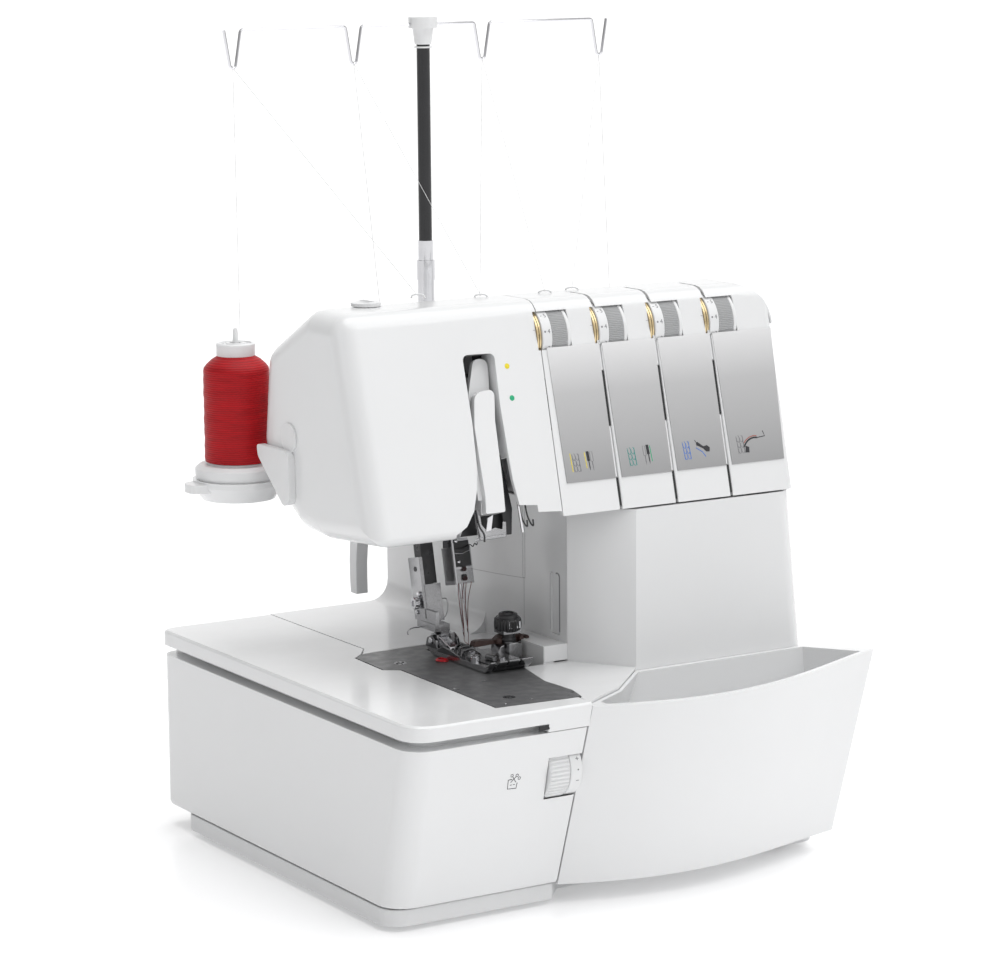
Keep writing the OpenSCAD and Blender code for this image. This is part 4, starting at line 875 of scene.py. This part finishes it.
for x, y, r, h in ((95.2, 70.5, 2.3, 4.6), (100.6, 82.5, 1.9, 3.8), (109.4, 66, 1.8, 2.6)):
    lathe(bm, [(r, 0), (r, h - 1.2), (r * 0.8, h - 1.0), (r * 0.8, h - 0.5), (r * 0.96, h - 0.3), (r * 0.7, h),
               (0, h + 0.05)],
          about((x, y, SOLE - 0.2)), 24)
piece("foot_pins", bm, "chrome", "presser_foot")
bm = bmesh.new()
for x0, x1 in ((93.6, 96.8), (99.2, 104.4), (105.0, 112.2), (112.9, 120.2)):
    prism(bm, TOE, facing_right(x0), 0, x1 - x0)
piece("foot_toes", bm, "steel", "presser_foot", finishes["foot_chrome"], edge=0.45)
bm = bmesh.new()
lathe(bm, [(0, -0.8), (1.7, -0.6), (1.9, 0), (1.9, 0.4), (1.4, 0.9), (0, 1.0)], about((92.9, 113, 118), (-1, 0, 0)), 24)
piece("foot_pin_head", bm, "chrome", "presser_foot")

# ---- knife
KNOB = (126.5, 88, 125.4)
bm = bmesh.new()
lathe(bm, [(0, -0.6), (6.2, -0.6), (7.4, 0.3, 0.5), (7.6, 3.0, 0.6), (7.4, 5.6, 0.5), (6.4, 6.6), (5.6, 6.6),
           (5.2, 8.4), (3.2, 9.0), (3.0, 8.2), (0, 8.2)], about(KNOB, (-0.03, -0.1, 1)), ribs=26)
lathe(bm, [(4.2, -7.0), (4.6, -6.6), (4.6, -5.4), (4.1, -5.0), (4.1, -0.4), (0, -0.4)], about(KNOB), 32)
piece("knife_knob", bm, "dark_steel", "upper_knife", edge=0.2)
bm = bmesh.new()
plate(bm, 123.4, 126.4, 130.6, 130.2, facing_front(81.2), -1.2, 0.2)
piece("knife_knob_face", bm, "chrome", "upper_knife", edge=0.1)
bm = bmesh.new()
outline = [(104.6, 118.4), (105.4, 120.4), (108.0, 120.9), (118.5, 120.0), (121.0, 121.8), (124.0, 122.6),
           (129.5, 122.6), (132.0, 121.4), (134.2, 121.9), (136.0, 120.4), (138.8, 120.4), (138.6, 118.6),
           (131.6, 117.4), (120.6, 117.2), (117.4, 118.0), (108, 117.6), (105, 117.6)]
prism(bm, outline, facing_front(90.5), -1.2, 3.4)
for x, r in ((119.4, 1.9), (133.6, 1.7), (137.2, 1.4)):
    lathe(bm, [(0, 0), (r, 0), (r, 2.2, 0.3), (r * 0.7, 2.7), (0, 2.8)], about((x, 87.4, 119.4), (0, -1, 0.1)), ribs=10)
piece("knife_lever", bm, "dark_steel", "upper_knife", ink("lever_brown", (0.05, 0.025, 0.02)), edge=0.35)
bm = bmesh.new()
prism(bm, [(121.8, 110.4), (129.6, 110.4), (129.6, 118.2), (127.2, 119.0), (121.8, 119.0)], facing_front(80.2), 0, 1.2)
prism(bm, [(117.4, 111.4), (121.6, 111.0), (121.6, 117.6), (119.4, 117.0), (117.6, 114.0)], facing_front(84.2), -6, 1.0)
piece("knife_holder_face", bm, "steel", "upper_knife", edge=0.3)

# ---- stitch plate
on_plate = facing_up(PLATE)
# dark marks on the stitch plate: painted shade of its recesses
bm = bmesh.new()
for x, y, size in ((68.8, 105.1, 3.0), (76.3, 5.8, 3.2)):
    for a in (25, 85, 145):
        spoke(bm, x, y, size, a, on_plate, 0.7, 0.0, 0.12)
lathe(bm, [(1.1, 0), (1.1, 0.1), (0, 0.1)], about((109.3, -2.9, PLATE)), 20)
for x, y in ((84.4, 40.9), (62.4, 34.1)):
    stroke(bm, [(x - 1.3, y), (x + 1.6, y + 0.5)], on_plate, 0.6, 0.0, 0.1)
piece("plate_recess_shade", bm, "dark_steel")
bm = bmesh.new()
for x, y, r in ((84.0, 43.4, 1.0), (62.2, 37.0, 0.7), (83.3, -4.2, 1.0), (66.5, -6.6, 0.6)):
    lathe(bm, [(r, 0), (r, 0.25), (r * 0.7, 0.4), (0, 0.42)], about((x, y, PLATE)), 20)
stroke(bm, [(104.4, -6.6), (104.8, -10.4)], on_plate, 0.4, 0.0, 0.15)
stroke(bm, [(104.4, -6.6), (107.6, -6.8)], on_plate, 0.4, 0.0, 0.15)
piece("plate_pins", bm, "steel")
# tangle of thread beside the needles
TAIL_X, TAIL_Y = 89.8, 96.6
random.seed(5)
bm = bmesh.new()
loop = []
for i in range(54):
    a = 0.62 * i
    loop.append((TAIL_X + (3.1 - 0.018 * i) * cos(a) + random.uniform(-0.5, 0.5),
                 TAIL_Y + (3.8 - 0.02 * i) * sin(a) + random.uniform(-0.5, 0.5),
                 PLATE + 0.35 + 0.012 * i + random.uniform(0, 0.35)))
wire(bm, loop + [(93.5, 99, 110.9), (98, 100, 111.6)], 0.24, 6, 3)
piece("thread_tail", bm, "thread_red", "machine", ink("tail_red", (0.62, 0.01, 0.02)))

# ---- column wall
WALL_X = 148
wall = facing_left(WALL_X)
bm = bmesh.new()
for y in (104.2, 106.4):
    stroke(bm, [(-y, 192), (-y, 148)], wall, 0.22)
stroke(bm, [(-106.4, 148), (-104.2, 148.2)], wall, 0.4)
stroke(bm, [(-160, 144), (-134, 145.6), (-104.2, 148)], wall, 0.32)
stroke(bm, [(-105.2, 148), (-105.2, 121.6)], wall, 0.3)
stroke(bm, arc(-76.4, 153.6, 2.1, 90, 180, 6) + [(-78.5, 124)], wall, 0.3)
mark("column_seams", bm, "pale", "base_grey")
bm = bmesh.new()
stroke(bm, [(-72.5, 155.8)] + arc(-71.4, 153.8, 2.4, 90, 0, 6) + [(-69.0, 124)], wall, 0.75, 0.0, 0.25)
mark("column_slot_edge", bm, "grey", "dark_steel")
bm = bmesh.new()
plate(bm, 133.2, 110.4, WALL_X + 0.4, 119.0, facing_front(61.9), -0.3, 0.25)
piece("shelf_end", bm, "cover_white", edge=0.2)

# ---- bed
WIDTH_X, WIDTH_Z, WIDTH_R = 84.6, 73.5, 15.8  # left side, height and rim of the width dial
WIDTH_Y = -tan(BED_LEAN) * WIDTH_Z + 12.4
axle = about((WIDTH_X, WIDTH_Y, WIDTH_Z), (1, 0, 0))
bm = bmesh.new()
lathe(bm, [(3.06, 0), (14.6, 0), (15.4, 0.4, 0.6), (15.9, 1.0, 0.9), (15.9, 11.2, 0.9), (15.4, 11.7, 0.4),
           (14.9, 11.8), (14.9, 12.1), (15.7, 12.2), (WIDTH_R, 12.6), (WIDTH_R, 18.5), (15.4, 19), (3.06, 19)],
      axle, closed=True, ribs=44)
piece("width_dial_wheel", bm, "knob_white", "width_dial", crease=24, stands_for=("width_dial",))

# a minus, a dot and a plus round the smooth rim
round_width = wrapped_on(WIDTH_X, WIDTH_Y, WIDTH_Z, WIDTH_R)
bm = bmesh.new()
stroke(bm, [(15.4, 6.4), (17.2, 6.4)], round_width, 0.4)
stroke(bm, [(16.3, 5.5), (16.3, 7.3)], round_width, 0.4)
prism(bm, arc(16.3, 0.6, 0.45, 0, 330, 11), round_width)
stroke(bm, [(15.4, -5.4), (17.2, -5.4)], round_width, 0.4)
mark("width_dial_marks", bm, "grey", body="width_dial")


def icon(u, v, w=0.0):
    """Place round the middle of the cutting width icon."""
    return bed_front(63.8 + u, 71.6 + v, w)


# generic icon beside the dial: a cloth with a seam, and scissors across its corner
bm = bmesh.new()
for points, width in (([(-3.2, 2.0), (-3.0, -3.0), (2.2, -3.2), (2.4, -0.2)], 0.4), ([(-3.2, 2.0), (-0.8, 2.1)], 0.4),
                      ([(-1.6, 0.4), (1.4, 3.4)], 0.35), ([(1.6, 0.2), (-0.8, 3.6)], 0.35)):
    stroke(bm, points, icon, width)
for cx, cy in ((1.9, 3.9), (3.4, 2.2), (-1.2, 4.2)):
    stroke(bm, arc(cx, cy, 0.75, 0, 360, 10), icon, 0.3)
for u in (-1.8, 0.0):
    stroke(bm, [(u, -1.0), (u + 1.2, -1.0)], icon, 0.3)
mark("cloth_width_icon", bm, "dark", "base_grey")

# black plate in the groove under the cloth plate: painted shade of the release slot's opening
bm = bmesh.new()
prism(bm, [(75.3, 98.5), (81.5, 98.7), (81.5, 101.1), (75.3, 100.9)],
      facing_front(-tan(BED_LEAN) * 99.9 - 0.1), -0.2, 0.35)
piece("release_slot_shade", bm, "black_plastic", "cloth_plate", edge=0.15)

# ---- dials, switch and inlet on the right side
side = facing_right(BODY_W)
SIDE_DIAL_Y, LENGTH_Z, FEED_Z = 222, 158, 118
bm = bmesh.new()
for z, numbers in ((LENGTH_Z, ("1", "2", "3", "4")), (FEED_Z, ("0.7", "1", "1.5", "2"))):
    for i, text in enumerate(numbers):
        sign(bm, text, 4.6, side, *polar(SIDE_DIAL_Y, z, 21, 150 - 40 * i))
    stroke(bm, [(SIDE_DIAL_Y, z + 16.2), (SIDE_DIAL_Y, z + 18.2)], side, 0.5)
mark("side_dial_numbers", bm, "grey", solid=False)
for body, z in (("length_dial", LENGTH_Z), ("feed_dial", FEED_Z)):
    bm = bmesh.new()
    lathe(bm, [(13.2, 0), (13.0, 0.6), (11.4, 0.6), (11.0, 0.2), (8.8, 0.2), (8.4, 0.55), (0, 0.6)],
          about((BODY_W + 8.9, SIDE_DIAL_Y, z), (1, 0, 0)), 64)
    piece(body + "_cap", bm, "knob_white", body, crease=24)
    bm = bmesh.new()
    stroke(bm, [(SIDE_DIAL_Y, z + 8.2), (SIDE_DIAL_Y, z + 12.4)], facing_right(BODY_W + 9.45), 0.9)
    mark(body + "_pointer", bm, "grey", body=body)

SWITCH_Y, SWITCH_Z = 226, 70  # middle of the rocker, above the inlet


def rocker(u, v, w=0.0):
    """Place on the rocker's two leaning faces: the upper one stands out, the lower one is pressed in."""
    rise = v - SWITCH_Z
    return (BODY_W + 1.2 + (2.2 / 6.4) * max(rise, rise * 1.2 / 2.2) + w, u, v)


bm = bmesh.new()
stroke(bm, [(SWITCH_Y, 72.6), (SWITCH_Y, 75.0)], rocker, 0.5, 0.02, 0.12)
stroke(bm, arc(SWITCH_Y, 66.6, 1.3, 0, 360, 16), rocker, 0.4, 0.02, 0.12)
piece("switch_marks", bm, "cover_white", "power_switch")
bm = bmesh.new()
for y0, z0, y1, z1 in ((-11, 61.6, -10, 78.6), (10, 61.6, 11, 78.6), (-10, 61.6, 10, 62.6), (-10, 77.4, 10, 78.6)):
    plate(bm, SWITCH_Y + y0, z0, SWITCH_Y + y1, z1, side, 0.0, 0.7)
piece("switch_frame", bm, "black_plastic", edge=0.1)
bm = bmesh.new()
for y in (SWITCH_Y - 6.5, SWITCH_Y, SWITCH_Y + 6.5):
    plate(bm, y - 1.1, 36.2, y + 1.1, 39.8, side, -12.1, -2.5)
piece("inlet_pins", bm, "brass", edge=0.2)

# ---- housing screws, with the shade of their cross recesses painted as dark crosses
SCREW_R = 2.6
rear = facing_back(256.0)
SCREW_PLACES = [(rear, -130, 30), (rear, -130, 92), (rear, -240, 92), (rear, -240, 180), (rear, -165, 180),
                (side, 246, 20), (side, 246, 178), (side, 92, 178)]
SCREW_HEAD = [(SCREW_R, 0), (SCREW_R, 0.35), (SCREW_R * 0.82, 0.75), (SCREW_R * 0.5, 0.95), (0, 1.0)]
heads, recesses = bmesh.new(), bmesh.new()
for wall_at, u, v in SCREW_PLACES:
    centre = Vector(wall_at(u, v, 0))
    lathe(heads, SCREW_HEAD, about(centre, Vector(wall_at(u, v, 1)) - centre), 24)
    # dark cross on each head: painted shade of its recess
    for a in (20, 110):
        spoke(recesses, u, v, SCREW_R * 0.55, a, wall_at, 0.6, 0.6, 1.03)
piece("housing_screws", heads, "steel")
piece("housing_screw_recess_shade", recesses, "dark_steel")

# ---- pressure dial
PRESSURE_X, PRESSURE_Y = 50, 103
bm = bmesh.new()
for i in range(5):
    tick = [polar(PRESSURE_X, PRESSURE_Y, r, 140 - 25 * i) for r in (10.4, 11.8)]
    stroke(bm, tick, facing_up(305.05), 0.4)
mark("pressure_marks", bm, "pale")
# grey lines on the dial's top: painted shade of its slot
bm = bmesh.new()
for x in (PRESSURE_X - 1.4, PRESSURE_X, PRESSURE_X + 1.4):
    stroke(bm, [(x, PRESSURE_Y - 6), (x, PRESSURE_Y + 6)], facing_up(307.85), 0.35, -0.05, 0.08)
mark("pressure_dial_slot_shade", bm, "pale", body="pressure_dial")

# ---- thread stand
STAND_X, STAND_Y = 134.8, 185.0
SPOOLS = [STAND_X + d for d in (-120, -32, 32, 120)]
SPOOL_Z = 213.7
HOOKS = [STAND_X + d for d in (-118, -44, 38, 116)]
HOOK_Z = 427.4
EYES = [(93.3, 122.9), (120.8, 103.0), (158.5, 98.4), (178.0, 101.7)]
EYE_Z, CONE_TIP_Z = 305.6, 287.2

# wound cone, a little uneven from turn to turn
CONE = [(3.4, 1.2), (16.6, 1.2), (17.8, 1.6)]
CONE += [(18.0 + 0.12 * sin(i * 1.9) + 0.08 * sin(i * 0.8), 1.6 + i * 2.15) for i in range(1, 24)]
CONE += [(17.6, 52.6), (16.2, 54.4), (13.4, 57.0), (10.4, 58.8), (10.2, 59.4), (3.4, 59.4)]
CORE_TOP = [(3.3, 59.0), (10.3, 59.0), (10.6, 59.6), (10.6, 65.4), (10.0, 66), (8.6, 66), (8.3, 65.3), (5.4, 65.3),
            (5.2, 66), (3.3, 66)]
CORE_FOOT = [(3.3, 0), (17.0, 0), (17.2, 0.3), (17.2, 0.9), (17.0, 1.2), (3.3, 1.2)]
PIN_TIP = [(2.9, 70.6), (2.6, 72.6), (1.9, 74.0), (1.3, 86), (0.9, 87.2), (0, 87.4)]
cones, cores, holes, tips = (bmesh.new() for _ in range(4))
for x in SPOOLS:
    axis = about((x, STAND_Y, SPOOL_Z), UP)
    lathe(cones, CONE, axis, 72, closed=True)
    lathe(cores, CORE_TOP, axis, 48, closed=True)
    lathe(cores, CORE_FOOT, axis, 48, closed=True)
    # grey discs on the tops of the cores: painted shade in their holes
    for i in range(10):
        hole = (*polar(x, STAND_Y, 7, 36 * i), SPOOL_Z + 65.25)
        lathe(holes, [(0.85, 0), (0.85, 0.1), (0, 0.1)], about(hole), 10)
    lathe(tips, PIN_TIP, about((x, STAND_Y, 200.4)), 24)
piece("spool_thread", cones, "thread_red", "machine", stands_for=("thread_spools",))
piece("spool_cores", cores, "knob_white")
mark("spool_core_hole_shade", holes, "pale")
piece("spool_pin_tips", tips, "knob_white")
for k, (x, y) in enumerate(EYES):
    hook = (HOOKS[k], STAND_Y, HOOK_Z)
    bm = bmesh.new()
    tube(bm, [hook, (SPOOLS[k] + 2.2, STAND_Y - 1.2, CONE_TIP_Z)], 0.15, 6)
    tube(bm, [hook, (x, y, EYE_Z)], 0.15, 6)
    obj = piece("thread_run_%d" % (k + 1), bm, "thread_red", "machine", THREAD_WHITE)
    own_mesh(obj)
    bm = bmesh.new()
    wire(bm, [(x - 3, y + 2, 304.4), (x - 2.6, y + 1.4, 305.9), (x, y, 306.5), (x + 2.6, y - 1.2, 305.9),
              (x + 3, y - 2, 304.4)], 0.5)
    piece("thread_eye_%d" % (k + 1), bm, "knob_white")
bm = bmesh.new()
lathe(bm, [(4.2, -2.2), (4.9, -2.0), (5.0, -1.6), (4.7, -1.2)], about((STAND_X, STAND_Y, 436.6)), 32)
piece("guide_cap_collar", bm, "knob_white", "thread_stand_top")

# ---- closing strips of the housing
HEAD_TOP, HEAD_BEND = 305.0, 22.0      # height of the head, and radius of its top right corner
COLUMN_LEAN = 0.0447                   # lean of the head's right end
HEAD_END = BODY_W + COLUMN_LEAN * 111 + 0.4
ROOF_Z, ROOF_FALL = 278.8, 1.855       # height at which the head's rear slope starts, and its way forward per height


def head_depth(z):
    """Front and rear limit, inside the wall, of the head's shell at a height."""
    rise = min(max(z - HEAD_TOP + 12, 0) / 12, 1)
    front = SEAM_Y + tan(LEAN) * (z - SEAM_Z) + 1.3 + 12 * (1 - sqrt(1 - rise * rise))
    rear = 155.6 - (z - ROOF_Z) * ROOF_FALL - 2.2 if z > ROOF_Z else 156.5
    return front, rear


# curved strip under the corner, as rows of points from front to rear
ROWS, COLUMNS = 13, 5
bm = bmesh.new()
shell = []
for i in range(ROWS):
    a = radians(90 - 90 * i / (ROWS - 1))
    r = HEAD_BEND - 0.12
    x = HEAD_END - HEAD_BEND + r * cos(a) - COLUMN_LEAN * (1 - sin(a)) * HEAD_BEND
    z = HEAD_TOP - HEAD_BEND + r * sin(a)
    front, rear = head_depth(z)
    shell.append([(x, front + (rear - front) * j / (COLUMNS - 1), z) for j in range(COLUMNS)])
under = [[(x - 0.7, y, z - 0.9) for x, y, z in row] for row in shell]
top, base = [[[bm.verts.new(p) for p in row] for row in rows] for rows in (shell, under)]
for i in range(ROWS - 1):
    for j in range(COLUMNS - 1):
        bm.faces.new([top[i][j], top[i + 1][j], top[i + 1][j + 1], top[i][j + 1]])
        bm.faces.new([base[i][j], base[i][j + 1], base[i + 1][j + 1], base[i + 1][j]])
rim = [(i, 0) for i in range(ROWS)] + [(ROWS - 1, j) for j in range(1, COLUMNS)]
rim += [(i, COLUMNS - 1) for i in range(ROWS - 2, -1, -1)] + [(0, j) for j in range(COLUMNS - 2, 0, -1)]
for (i, j), (k, m) in zip(rim, rim[1:] + rim[:1]):
    bm.faces.new([top[i][j], top[k][m], base[k][m], base[i][j]])
piece("head_end_corner", bm, "cover_white")
# strip behind the seam between the side cover and the rear cover
bm = bmesh.new()
prism(bm, [(-106.2, 10), (-100.0, 10), (-105.6, 96), (-106.2, 96)], facing_back(253.6), 0, 2.2)
piece("rear_seam_strip", bm, "cover_white", edge=0.3)


# ---- camera, floor and light
def camera():
    """The photo's viewpoint, solved on the straight edges of the machine."""
    eye = Vector((-0.963425, -1.548315, 0.520570))
    right = Vector((0.85104, -0.52505, -0.00874)).normalized()
    up = Vector((0.09673, 0.14039, 0.98537))
    up = (up - right * up.dot(right)).normalized()
    data = bpy.data.cameras.new("camera")
    data.lens, data.sensor_width = 121.99, 36.0
    data.clip_end = 60
    obj = new_object("camera", data)
    obj.matrix_world = Matrix.Translation(eye) @ Matrix((right, up, right.cross(up))).transposed().to_4x4()
    bpy.context.scene.camera = obj


def floor(reach=40):
    """Plain pale floor, wide enough to fill every view."""
    mesh = bpy.data.meshes.new("floor")
    corners = [(-reach, -reach, 0), (reach, -reach, 0), (reach, reach, 0), (-reach, reach, 0)]
    mesh.from_pydata(corners, [], [(0, 1, 2, 3)])
    obj = new_object("floor", mesh)
    mat, tree, shader, place = new_material("floor_white")
    tone = ramp(tree, noise(tree, place, 4.0), [(0.3, (0.90, 0.90, 0.905)), (0.7, (0.92, 0.92, 0.925))])
    put(shader, {"Base Color": tone, "Roughness": 0.22, "Specular IOR Level": 0.35,
                 "Emission Color": (1, 1, 1, 1), "Emission Strength": 0.20})
    mesh.materials.append(mat)


def softbox(name, place, aim, size, power):
    """Rectangular lamp of so many metres and watts, aimed at a place."""
    data = bpy.data.lights.new(name, "AREA")
    data.shape = "RECTANGLE"
    data.size, data.size_y = size
    data.energy = power
    obj = new_object(name, data)
    obj.location = place
    obj.rotation_euler = (Vector(aim) - Vector(place)).to_track_quat("-Z", "Y").to_euler()


def studio():
    scene = bpy.context.scene
    scene.view_settings.view_transform = "Standard"
    world = bpy.data.worlds.new("studio")
    scene.world = world
    world.use_nodes = True
    tree = world.node_tree
    coords = add(tree, "ShaderNodeTexCoord", {}).outputs["Generated"]

    def lit_from(direction, near, far, dark, bright):
        """Strength that rises from dark to bright as the view turns towards a direction."""
        turn = add(tree, "ShaderNodeVectorMath", {0: coords, 1: direction}, operation="DOT_PRODUCT")
        return moved(tree, turn.outputs["Value"], near, far, dark, bright, "SMOOTHSTEP")

    # brighter from the right and the front, and a bright horizon behind the machine, which the level tops reflect
    total = add(tree, "ShaderNodeMath", {0: lit_from((0.50, -0.42, 0.75), -0.9, 0.8, 0.22, 0.52),
                                         1: lit_from((0.42, 0.90, 0.10), 0.45, 1.0, 0.0, 0.62)})
    put(tree.nodes["Background"], {"Strength": total.outputs["Value"], "Color": (1, 1, 1, 1)})
    data = bpy.data.lights.new("overhead", "SUN")
    data.energy = 1.75
    data.angle = radians(70)
    sun = new_object("overhead", data)
    sun.rotation_euler = Vector((-0.24, 0.24, -0.94)).to_track_quat("-Z", "Y").to_euler()
    softbox("front", (0.6, -2.4, 1.5), (0, 0, 0.15), (2.0, 1.6), 6)
    softbox("above", (-0.2, 0.1, 2.4), (0, 0, 0), (1.2, 1.2), 5)
    softbox("left", (-2.4, -0.4, 1.0), (0, 0, 0.15), (0.8, 1.4), 2)


camera()
floor()
studio()
